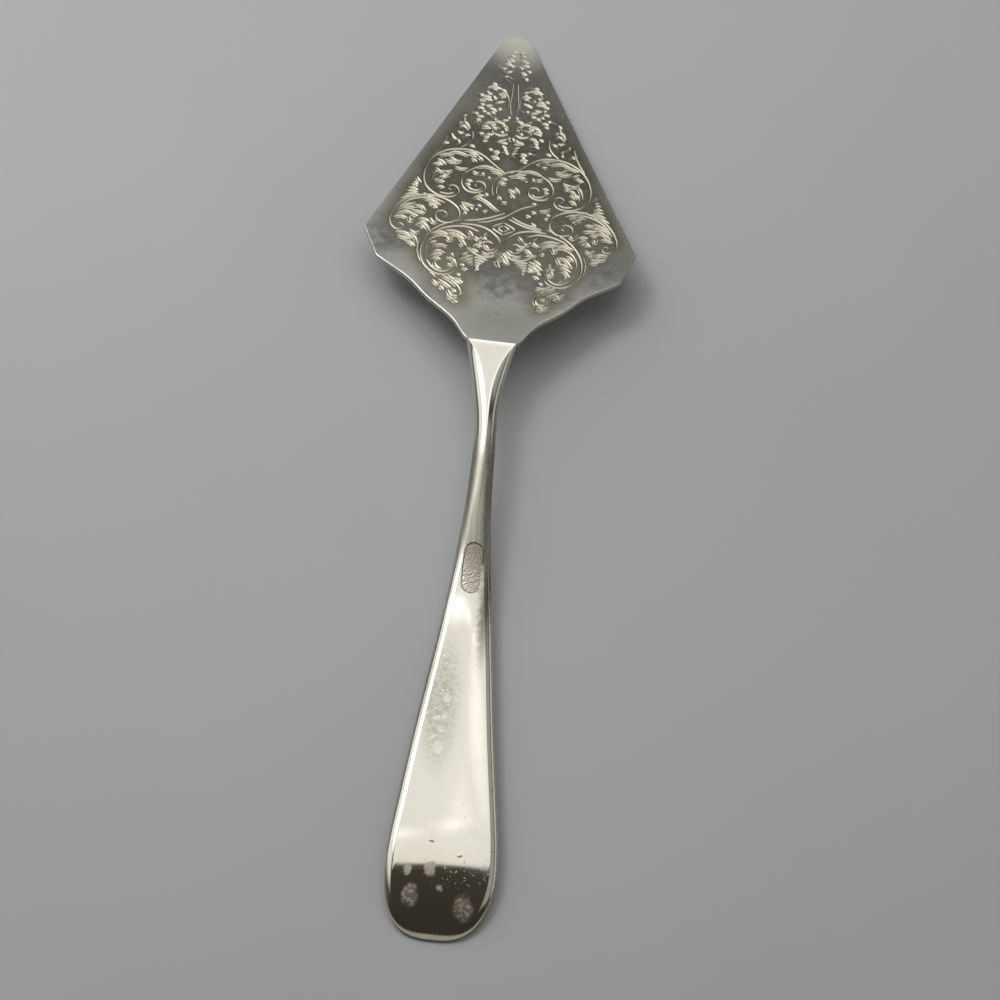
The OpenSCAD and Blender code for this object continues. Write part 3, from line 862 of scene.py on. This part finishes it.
# Solder
def make_solder(material, edge_steps=40):
    """The film between tongue and blade, with the fillet that runs out round the tongue."""
    reach = TONGUE_LENGTH / math.cos(BLADE_SLOPE) + SOLDER_SPREAD
    half = []
    for i in range(edge_steps + 1):
        y = mix(SOLDER_SETBACK, reach, math.sin(math.pi / 2 * i / edge_steps))
        half.append(Vector(((HANDLE_NECK + SOLDER_SPREAD) * round_off(y / reach), y, 0)))
    bm = bmesh.new()
    outline = half + [Vector((-p.x, p.y, 0)) for p in reversed(half[:-1])]
    film = bm.faces.new([bm.verts.new(p) for p in outline])
    lowered = bmesh.ops.extrude_face_region(bm, geom=[film])["geom"]
    lower_verts = [v for v in lowered if isinstance(v, bmesh.types.BMVert)]
    bmesh.ops.translate(bm, verts=lower_verts, vec=(0, 0, -SOLDER_THICKNESS / 2))
    lower_face = [f for f in lowered if isinstance(f, bmesh.types.BMFace)]
    bmesh.ops.recalc_face_normals(bm, faces=bm.faces)
    for depth in FILLET_DEPTHS:
        bmesh.ops.inset_region(bm, faces=lower_face, thickness=FILLET_STEP, depth=depth, use_even_offset=True)
    for face in bm.faces:
        face.smooth = len(face.verts) == 4
    bmesh.ops.transform(bm, matrix=on_blade_slope(), verts=bm.verts)
    finish_piece("solder_fillet", bm, "solder", material)


# Node helpers
def add_node(tree, kind, inputs=None, **settings):
    """A node with its settings and inputs: an input is a value, or another node's socket."""
    node = tree.nodes.new(kind)
    for name, value in settings.items():
        setattr(node, name, value)
    for name, value in (inputs or {}).items():
        if isinstance(value, bpy.types.NodeSocket):
            tree.links.new(value, node.inputs[name])
        else:
            node.inputs[name].default_value = value
    return node


def combine(tree, operation, a, b):
    return add_node(tree, "ShaderNodeMath", {0: a, 1: b}, operation=operation).outputs[0]


def blend_colour(tree, factor, a, b):
    return add_node(tree, "ShaderNodeMix", {0: factor, 6: a, 7: b}, data_type="RGBA").outputs[2]


def tinted(tree, colour, layers):
    """A colour with tints laid over it in turn: each has a mask, a strength and the tint."""
    for mask, strength, tint in layers:
        colour = blend_colour(tree, combine(tree, "MULTIPLY", mask, strength), colour, (*tint, 1))
    return colour


def strongest(tree, masks):
    """The highest of several masks."""
    highest = masks[0]
    for mask in masks[1:]:
        highest = combine(tree, "MAXIMUM", highest, mask)
    return highest


def set_roughness(tree, shader, bare, layers):
    """Roughness of the bare plate, and what each mask adds to it."""
    rough = bare
    for mask, amount in layers:
        rough = combine(tree, "ADD", rough, combine(tree, "MULTIPLY", mask, amount))
    tree.links.new(rough, shader.inputs["Roughness"])


def ramp(tree, value, low, high, to_low=0.0, to_high=1.0):
    """Smooth step of a value between two limits."""
    inputs = {"Value": value, "From Min": low, "From Max": high, "To Min": to_low, "To Max": to_high}
    return add_node(tree, "ShaderNodeMapRange", inputs, interpolation_type="SMOOTHSTEP").outputs[0]


def cloud(tree, coords, scale, detail=4.0, stretch=(1, 1, 1), turn=0.0):
    """Noise on the piece, which can be stretched and turned."""
    inputs = {"Vector": coords, "Scale": stretch, "Rotation": (0, 0, turn)}
    moved = add_node(tree, "ShaderNodeMapping", inputs).outputs[0]
    inputs = {"Vector": moved, "Scale": scale, "Detail": detail}
    return add_node(tree, "ShaderNodeTexNoise", inputs).outputs["Fac"]


def patch(tree, coords, centre, size, softness=0.5):
    """Mask of a soft oval on the piece; centre and half sizes in millimetres."""
    scale = [1 / (s * MM) for s in size]
    shift = [-c * MM * s for c, s in zip(centre, scale)]
    inputs = {"Vector": coords, "Location": shift, "Scale": scale}
    moved = add_node(tree, "ShaderNodeMapping", inputs).outputs[0]
    length = add_node(tree, "ShaderNodeVectorMath", {0: moved}, operation="LENGTH").outputs["Value"]
    return ramp(tree, length, 1 + softness, 1 - softness)


def patches(tree, coords, places, softness):
    """Mask of several soft ovals: pairs of a centre and half sizes."""
    return strongest(tree, [patch(tree, coords, centre, size, softness) for centre, size in places])


def new_group(name, inputs, outputs):
    """An empty shader group with named sockets: (tree, its inputs, its output node)."""
    tree = bpy.data.node_groups.new(name, "ShaderNodeTree")
    for socket, kind in inputs:
        tree.interface.new_socket(socket, in_out="INPUT", socket_type=kind)
    for socket in outputs:
        tree.interface.new_socket(socket, in_out="OUTPUT", socket_type="NodeSocketFloat")
    return tree, tree.nodes.new("NodeGroupInput").outputs, tree.nodes.new("NodeGroupOutput")


def use_group(tree, group, inputs):
    return add_node(tree, "ShaderNodeGroup", inputs, node_tree=group).outputs


def hairline_group():
    """Fine scratches along the piece and across it."""
    tree, given, out = new_group("hairlines", [("Vector", "NodeSocketVector")], ["Lines"])
    along = cloud(tree, given["Vector"], 1, 2.0, (3200, 55, 900))
    slanting = cloud(tree, given["Vector"], 1, 2.0, (2300, 70, 900), 0.5)
    crossing = cloud(tree, given["Vector"], 1, 2.0, (2500, 60, 900), -0.9)
    lines = ramp(tree, along, 0.60, 0.72)
    lines = combine(tree, "MAXIMUM", lines, ramp(tree, slanting, 0.66, 0.76))
    lines = combine(tree, "MAXIMUM", lines, ramp(tree, crossing, 0.68, 0.78))
    tree.links.new(lines, out.inputs["Lines"])
    return tree


def tarnish_group():
    """Cloudy cover of tarnish, from broad patches down to specks."""
    inputs = [("Vector", "NodeSocketVector"), ("Scale", "NodeSocketFloat")]
    tree, given, out = new_group("tarnish", inputs, ["Cover", "Grain"])
    broad = add_node(tree, "ShaderNodeTexNoise",
                     {"Vector": given["Vector"], "Scale": given["Scale"], "Detail": 6.0, "Roughness": 0.62})
    fine = cloud(tree, given["Vector"], 1400, 3.0)
    tree.links.new(ramp(tree, broad.outputs["Fac"], 0.40, 0.66), out.inputs["Cover"])
    tree.links.new(ramp(tree, fine, 0.3, 0.7), out.inputs["Grain"])
    return tree


def spot_group():
    """Small round dried spots, paler at their rings, in a share of the cells."""
    inputs = [("Vector", "NodeSocketVector"), ("Scale", "NodeSocketFloat"), ("Share", "NodeSocketFloat")]
    tree, given, out = new_group("dried_spots", inputs, ["Spots"])
    cells = add_node(tree, "ShaderNodeTexVoronoi", {"Vector": given["Vector"], "Scale": given["Scale"]})
    split = add_node(tree, "ShaderNodeSeparateColor", {"Color": cells.outputs["Color"]})
    size = combine(tree, "ADD", combine(tree, "MULTIPLY", split.outputs["Green"], 0.2), 0.12)
    inside = combine(tree, "SUBTRACT", size, cells.outputs["Distance"])
    disc = ramp(tree, inside, -0.02, 0.08)
    hollow = ramp(tree, inside, 0.08, 0.2, 1.0, 0.55)
    kept = combine(tree, "LESS_THAN", split.outputs["Red"], given["Share"])
    spots = combine(tree, "MULTIPLY", combine(tree, "MULTIPLY", disc, hollow), kept)
    tree.links.new(spots, out.inputs["Spots"])
    return tree


def warped(tree, coords, scale, reach):
    """Coordinates that waver, so that what is drawn on them gets an uneven edge."""
    noise = add_node(tree, "ShaderNodeTexNoise", {"Vector": coords, "Scale": scale, "Detail": 3.0})
    centred = add_node(tree, "ShaderNodeVectorMath", {0: noise.outputs["Color"], 1: (0.5, 0.5, 0.5)},
                       operation="SUBTRACT").outputs[0]
    inputs = {0: centred, 1: (2 * reach, 2 * reach, 2 * reach), 2: coords}
    return add_node(tree, "ShaderNodeVectorMath", inputs, operation="MULTIPLY_ADD").outputs[0]


def material_start(name):
    material = bpy.data.materials.new(name)
    material.use_nodes = True
    tree = material.node_tree
    tree.nodes.clear()
    coords = tree.nodes.new("ShaderNodeTexCoord").outputs["Object"]
    shader = tree.nodes.new("ShaderNodeBsdfPrincipled")
    output = tree.nodes.new("ShaderNodeOutputMaterial")
    tree.links.new(shader.outputs[0], output.inputs["Surface"])
    return material, tree, coords, shader


def attribute(tree, name):
    return add_node(tree, "ShaderNodeAttribute", attribute_name=name).outputs["Fac"]


def bump(tree, shader, heights):
    """Small relief of the surface: pairs of a height and its depth in metres."""
    normal = None
    for height, depth in heights:
        inputs = {"Height": height, "Distance": depth}
        if normal:
            inputs["Normal"] = normal
        normal = add_node(tree, "ShaderNodeBump", inputs).outputs[0]
    tree.links.new(normal, shader.inputs["Normal"])


HAIRLINES = hairline_group()
TARNISH = tarnish_group()
SPOTS = spot_group()


# Patches of the blade: middle and half sizes
SMUDGES = [((-28, 48, 10), (4.5, 6, 9)), ((-19, 31, 12), (5, 3, 9)), ((24, 45, 10), (3, 6, 9))]
# Painted shade: darker places near the neck and at the right rear corner
PAINTED_SHADE_PATCHES = [((1, 24, 13), (11, 6, 8)), ((29, 46, 9), (5, 6, 8))]


# Silver plate with tarnish, smudges and wear, and painted shade near the neck and rear corner
def silver_blade_wear_and_painted_shade():
    material, tree, coords, shader = material_start("silver_blade_wear_and_painted_shade")
    cut = ramp(tree, attribute(tree, "cut"), 0.0, 0.04)
    tarnish = use_group(tree, TARNISH, {"Vector": coords, "Scale": 70.0})
    hairlines = use_group(tree, HAIRLINES, {"Vector": coords})["Lines"]
    upper = patch(tree, coords, (0, 109, 3), (16, 20, 9), 0.6)
    worn_tip = patch(tree, coords, (0, 122, 1), (9, 10, 9), 0.8)
    wavering = warped(tree, coords, 300.0, 0.004)
    smudge = patch(tree, wavering, (1, 38, 11), (8.5, 4.5, 9), 0.6)
    smudge = strongest(tree, [smudge, patches(tree, wavering, SMUDGES, 0.7)])
    mottle = ramp(tree, cloud(tree, coords, 420, 5.0), 0.36, 0.62, 0.25, 0.9)
    colour = blend_colour(tree, tarnish["Cover"], (0.74, 0.735, 0.66, 1), (0.64, 0.635, 0.565, 1))
    colour = tinted(tree, colour, (
        (attribute(tree, "worked"), ramp(tree, upper, 0, 1, 0.9, 0.2), (0.32, 0.305, 0.23)),
        (patches(tree, coords, PAINTED_SHADE_PATCHES, 0.8), 0.85, (0.45, 0.445, 0.40)),
        (smudge, mottle, (0.34, 0.33, 0.33)),
        (tarnish["Grain"], 0.15, (0.45, 0.44, 0.40)),
        (worn_tip, 1.0, (0.90, 0.885, 0.78)),
        (attribute(tree, "rim"), 1.0, (0.50, 0.485, 0.44)),
        (cut, 1.0, (0.51, 0.475, 0.375))))
    tree.links.new(colour, shader.inputs["Base Color"])
    set_roughness(tree, shader, 0.26, ((tarnish["Cover"], 0.05), (worn_tip, 0.28), (cut, 0.04)))
    shader.inputs["Metallic"].default_value = 1.0
    bump(tree, shader, [(hairlines, 0.0000015), (tarnish["Grain"], 0.000003)])
    return material


# Dried drops on the end of the grip, and paler ones further up: middle and half sizes
DROPS = [
    ((-6, -111.7, 3.5), (1.5, 2.1, 4)), ((5.5, -113.2, 3.3), (1.8, 2.3, 4)),
    ((-7.2, -106.3, 4.3), (0.8, 1.0, 4)), ((-2.1, -105.8, 4.3), (1.0, 1.2, 4)),
    ((0.2, -109.7, 3.8), (0.7, 0.7, 4)),
]
PALE_DROPS = [
    ((-3.4, -78.6, 5), (0.9, 1.3, 4)), ((-3.2, -74.6, 5), (1.0, 0.8, 4)), ((-2.6, -70.8, 5), (0.7, 0.8, 4)),
    ((-4.6, -76, 5), (0.6, 0.6, 4)), ((-2.2, -67, 5), (0.9, 1.0, 4)), ((-3.9, -71.6, 5), (0.5, 0.6, 4)),
]

# Straw-coloured tarnish on the turned-down end: middle, half sizes and colour
STAINS = [
    ((0, -111, 3.5), (12, 7, 5), (0.61, 0.56, 0.44)),
    ((0, -115.5, 3), (10, 4, 5), (0.55, 0.49, 0.36)),
]

# Two single pits in the grip: middle and half sizes
SINGLE_PITS = [((-2.5, -100, 5), (0.36, 0.2, 4)), ((3.7, -102.6, 5), (0.36, 0.2, 4))]


# Silver plate with wear, drops and spots, and with painted highlights, reflections and shade
def silver_handle_wear_and_painted_light():
    material, tree, coords, shader = material_start("silver_handle_wear_and_painted_light")
    sunk = attribute(tree, "sunk")
    # Painted shade: the cartouche's walls darkened all round
    painted_wall_shade = combine(tree, "MULTIPLY", ramp(tree, sunk, 0.0, 0.3), ramp(tree, sunk, 1.0, 0.7))
    tarnish = use_group(tree, TARNISH, {"Vector": coords, "Scale": 70.0})
    hairlines = use_group(tree, HAIRLINES, {"Vector": coords})["Lines"]
    wavering = warped(tree, coords, 800.0, 0.0008)
    flowing = warped(tree, coords, 320.0, 0.0012)
    wet_area = patch(tree, wavering, (-3.6, -68, 5), (3.6, 13, 9), 0.6)
    speck_area = patch(tree, wavering, (4.5, -99, 5), (8, 9, 9), 0.6)
    # Worn stem, rougher and streaked; its darker colour is painted shade
    worn_and_shaded_area = patch(tree, coords, (0.4, -20, 8), (9, 15, 14), 0.35)
    # Painted highlight: a bright spot put into the colour below the cartouche
    painted_highlight_spot = patch(tree, coords, (-1.8, -45.5, 5), (2.3, 3.0, 9), 0.8)
    # Painted reflection: a dark strip on the right flank behind the neck
    painted_dark_reflection = patch(tree, wavering, (2.6, -15, 8), (1.0, 20, 14), 0.7)
    # Painted shade: the left flank behind the neck made darker in colour
    painted_shade_left_flank = patch(tree, coords, (-4.9, -9, 9), (1.9, 13, 8), 0.4)
    # Painted reflection: a dark streak to the right of the cartouche
    painted_dark_streak = patch(tree, wavering, (4.3, -43, 5), (1.2, 12, 9), 0.8)
    streaks = ramp(tree, cloud(tree, coords, 1, 3.0, (1100, 40, 300)), 0.35, 0.7)
    mottle = ramp(tree, cloud(tree, coords, 1300, 5.0), 0.42, 0.62)
    drops = []
    for centre, size in DROPS:
        body = patch(tree, flowing, centre, size, 0.6)
        core = patch(tree, flowing, centre, [s * 0.6 for s in size], 0.6)
        drops.append(combine(tree, "MULTIPLY", body, ramp(tree, core, 0, 1, 1.0, 0.75)))
    drops = combine(tree, "MULTIPLY", strongest(tree, drops), ramp(tree, mottle, 0, 1, 0.5, 1.0))
    specks = use_group(tree, SPOTS, {"Vector": wavering, "Scale": 1600.0, "Share": 0.5})["Spots"]
    speck_share = strongest(tree, [speck_area, combine(tree, "MULTIPLY", wet_area, 0.8)])
    specks = combine(tree, "MULTIPLY", specks, ramp(tree, speck_share, 0, 1, 0.12, 0.9))
    pits = use_group(tree, SPOTS, {"Vector": wavering, "Scale": 1700.0, "Share": 0.05})["Spots"]
    pits = combine(tree, "MULTIPLY", pits, speck_area)
    pits = strongest(tree, [pits, patches(tree, wavering, SINGLE_PITS, 0.6)])
    colour = blend_colour(tree, combine(tree, "MULTIPLY", tarnish["Cover"], 0.3), (0.645, 0.62, 0.545, 1),
                          (0.57, 0.545, 0.465, 1))
    stains = [(patch(tree, flowing, centre, size, 0.6), 1.0, tint) for centre, size, tint in STAINS]
    colour = tinted(tree, colour, (
        *stains,
        (worn_and_shaded_area, ramp(tree, streaks, 0, 1, 0.55, 1.0), (0.33, 0.32, 0.265)),
        (painted_shade_left_flank, 1.0, (0.30, 0.29, 0.25)),
        (painted_dark_reflection, 0.75, (0.17, 0.155, 0.125)),
        (wet_area, ramp(tree, mottle, 0, 1, 0.5, 0.85), (0.35, 0.335, 0.275)),
        (patches(tree, flowing, PALE_DROPS, 0.4), 0.5, (0.72, 0.70, 0.63)),
        (painted_dark_streak, 0.9, (0.13, 0.12, 0.105)),
        (sunk, 0.7, (0.46, 0.43, 0.345)),
        (painted_wall_shade, 0.85, (0.14, 0.13, 0.10)),
        (drops, 0.45, (0.33, 0.295, 0.26)),
        (specks, 0.8, (0.95, 0.93, 0.87)),
        (pits, 0.7, (0.20, 0.18, 0.15)),
        (painted_highlight_spot, 1.0, (0.86, 0.84, 0.79)),
        (attribute(tree, "facet_edge_highlight"), 1.0, (0.90, 0.88, 0.82))))
    tree.links.new(colour, shader.inputs["Base Color"])
    wet = combine(tree, "MULTIPLY", wet_area, mottle)
    set_roughness(tree, shader, 0.06, (
        (tarnish["Cover"], 0.03), (worn_and_shaded_area, 0.34), (wet, 0.12), (drops, 0.4), (sunk, 0.2)))
    dry = strongest(tree, [drops, combine(tree, "MULTIPLY", specks, 0.45)])
    tree.links.new(ramp(tree, dry, 0, 1, 1.0, 0.62), shader.inputs["Metallic"])
    stipple = combine(tree, "MULTIPLY", cloud(tree, coords, 2600, 1.0), sunk)
    bump(tree, shader, [(hairlines, 0.0000012), (pits, -0.00002), (specks, 0.00001), (stipple, 0.00012)])
    return material


def dull_solder():
    material, tree, coords, shader = material_start("dull_solder")
    tarnish = use_group(tree, TARNISH, {"Vector": coords, "Scale": 300.0})
    colour = blend_colour(tree, tarnish["Cover"], (0.55, 0.54, 0.51, 1), (0.34, 0.33, 0.31, 1))
    tree.links.new(colour, shader.inputs["Base Color"])
    tree.links.new(ramp(tree, tarnish["Grain"], 0, 1, 0.35, 0.6), shader.inputs["Roughness"])
    shader.inputs["Metallic"].default_value = 1.0
    bump(tree, shader, [(tarnish["Grain"], 0.00003)])
    return material


def pale_table():
    material, tree, coords, shader = material_start("pale_table")
    tone = cloud(tree, coords, 6, 3.0)
    colour = blend_colour(tree, ramp(tree, tone, 0.3, 0.7), (0.55, 0.568, 0.572, 1), (0.575, 0.593, 0.597, 1))
    tree.links.new(colour, shader.inputs["Base Color"])
    tree.links.new(ramp(tree, cloud(tree, coords, 700, 2.0), 0.2, 0.8, 0.5, 0.6), shader.inputs["Roughness"])
    shader.inputs["Specular IOR Level"].default_value = 0.25
    return material


# Table, light and camera
def make_table(material, size=8.0, clearance=0.00005):
    bm = bmesh.new()
    bmesh.ops.create_grid(bm, x_segments=4, y_segments=4, size=size)
    bmesh.ops.translate(bm, verts=bm.verts, vec=(0, 0, -clearance))
    table = scene_object("table", bm, material)


def soft_box(name, place, aim, size, radiance, colour=(1, 1, 1), soft_edge=0.0, turn=0):
    """A rectangular studio light, turned to a place, even or fading to its edges."""
    light = bpy.data.lights.new(name, "AREA")
    light.shape = "RECTANGLE"
    light.size, light.size_y = size
    light.energy = radiance * math.pi * size[0] * size[1]
    light.color = colour
    if soft_edge:
        light.use_nodes = True
        tree = light.node_tree
        spot = tree.nodes.new("ShaderNodeNewGeometry").outputs["Parametric"]
        split = add_node(tree, "ShaderNodeSeparateXYZ", {0: spot}).outputs
        fade = []
        for axis in ("X", "Y"):
            off_middle = combine(tree, "ABSOLUTE", combine(tree, "SUBTRACT", split[axis], 0.5), 0.0)
            fade.append(ramp(tree, off_middle, 0.5, 0.5 - soft_edge))
        tree.links.new(combine(tree, "MULTIPLY", *fade), tree.nodes["Emission"].inputs["Strength"])
    lamp = bpy.data.objects.new(name, light)
    direction = Vector(aim) - Vector(place)
    facing = direction.to_track_quat("-Z", "Y").to_matrix().to_4x4()
    turned = Matrix.Rotation(math.radians(turn), 4, "Z")
    lamp.matrix_world = Matrix.Translation(place) @ facing @ turned
    lamp.visible_camera = False
    bpy.context.scene.collection.objects.link(lamp)


def studio_light():
    """A panel and three far strips that face straight down, and four boxes that face the server."""
    for name, (x, y, z), size, radiance, soft_edge, turn in (
            ("overhead_panel", (0.0, 0.271, 0.6), (0.52, 0.602), 1.13, 0.0, 5),
            ("front_strip", (-0.23, 0.53, 2.4), (0.56, 0.18), 0.45, 0.45, 3),
            ("corner_strip", (0.16, 0.69, 2.4), (0.46, 0.24), 0.45, 0.45, 43),
            ("right_strip", (0.40, 0.99, 2.4), (0.50, 0.28), 0.45, 0.45, 65)):
        soft_box(name, (x, y, z), (x, y, 0), size, radiance, soft_edge=soft_edge, turn=turn)
    soft_box("left_box", (-0.499, 0.349, 0.549), (0, 0, 0), (1.15, 0.84), 1.0, soft_edge=0.2)
    soft_box("key_box", (-0.407, 0.235, 0.647), (0, 0, 0), (0.38, 0.38), 7, soft_edge=0.4)
    soft_box("right_fill", (0.535, 0.06, 0.594), (0, 0, 0), (0.75, 0.5), 0.38, soft_edge=0.15)
    soft_box("right_box", (0.93, 0.2, 0.29), (0, 0, 0.01), (0.9, 0.42), 0.65, (1, 0.96, 0.94), soft_edge=0.2)


def room_light():
    """Pale at the horizon, most in front of the table and on the left, and dim overhead."""
    world = bpy.data.worlds.new("room")
    bpy.context.scene.world = world
    world.use_nodes = True
    tree = world.node_tree
    tree.nodes.clear()
    direction = tree.nodes.new("ShaderNodeTexCoord").outputs["Generated"]
    split = add_node(tree, "ShaderNodeSeparateXYZ", {0: direction}).outputs
    leftward = ramp(tree, split["X"], 0.3, -0.8)
    sides = blend_colour(tree, leftward, (0.05, 0.05, 0.047, 1), (0.18, 0.172, 0.155, 1))
    sides = blend_colour(tree, ramp(tree, split["Z"], 0.3, 0.9), sides, (0.06, 0.056, 0.05, 1))
    above_front = ramp(tree, split["Z"], 0.2, 0.34)
    front = blend_colour(tree, above_front, (0.46, 0.445, 0.40, 1), (0.05, 0.047, 0.042, 1))
    tone = blend_colour(tree, ramp(tree, split["Y"], 0.1, -0.5), sides, front)
    background = add_node(tree, "ShaderNodeBackground", {"Color": tone})
    output = tree.nodes.new("ShaderNodeOutputWorld")
    tree.links.new(background.outputs[0], output.inputs["Surface"])


def photo_camera():
    """The camera at the photograph's viewing angle."""
    elevation = math.radians(62.04)
    azimuth = math.radians(-5.99)
    roll = math.radians(11.81)
    distance = 0.52326
    aim = Vector((0.005366, -0.018404, 0.008))
    back = Vector((math.sin(azimuth) * math.cos(elevation), -math.cos(azimuth) * math.cos(elevation),
                   math.sin(elevation)))
    right = Vector((math.cos(azimuth), math.sin(azimuth), 0))
    up = back.cross(right)
    right, up = (math.cos(roll) * right + math.sin(roll) * up, math.cos(roll) * up - math.sin(roll) * right)
    camera = bpy.data.objects.new("photo_camera", bpy.data.cameras.new("photo_camera"))
    camera.data.sensor_width = 36
    camera.data.lens = 82.8
    camera.data.clip_start = 0.01
    turned = Matrix((right, up, back)).transposed().to_4x4()
    camera.matrix_world = Matrix.Translation(aim + back * distance) @ turned
    bpy.context.scene.collection.objects.link(camera)
    bpy.context.scene.camera = camera


make_blade(silver_blade_wear_and_painted_shade())
make_handle(silver_handle_wear_and_painted_light())
make_solder(dull_solder())
make_table(pale_table())
studio_light()
room_light()
photo_camera()
bpy.context.scene.view_settings.view_transform = "Standard"

bpy.context.view_layer.update()
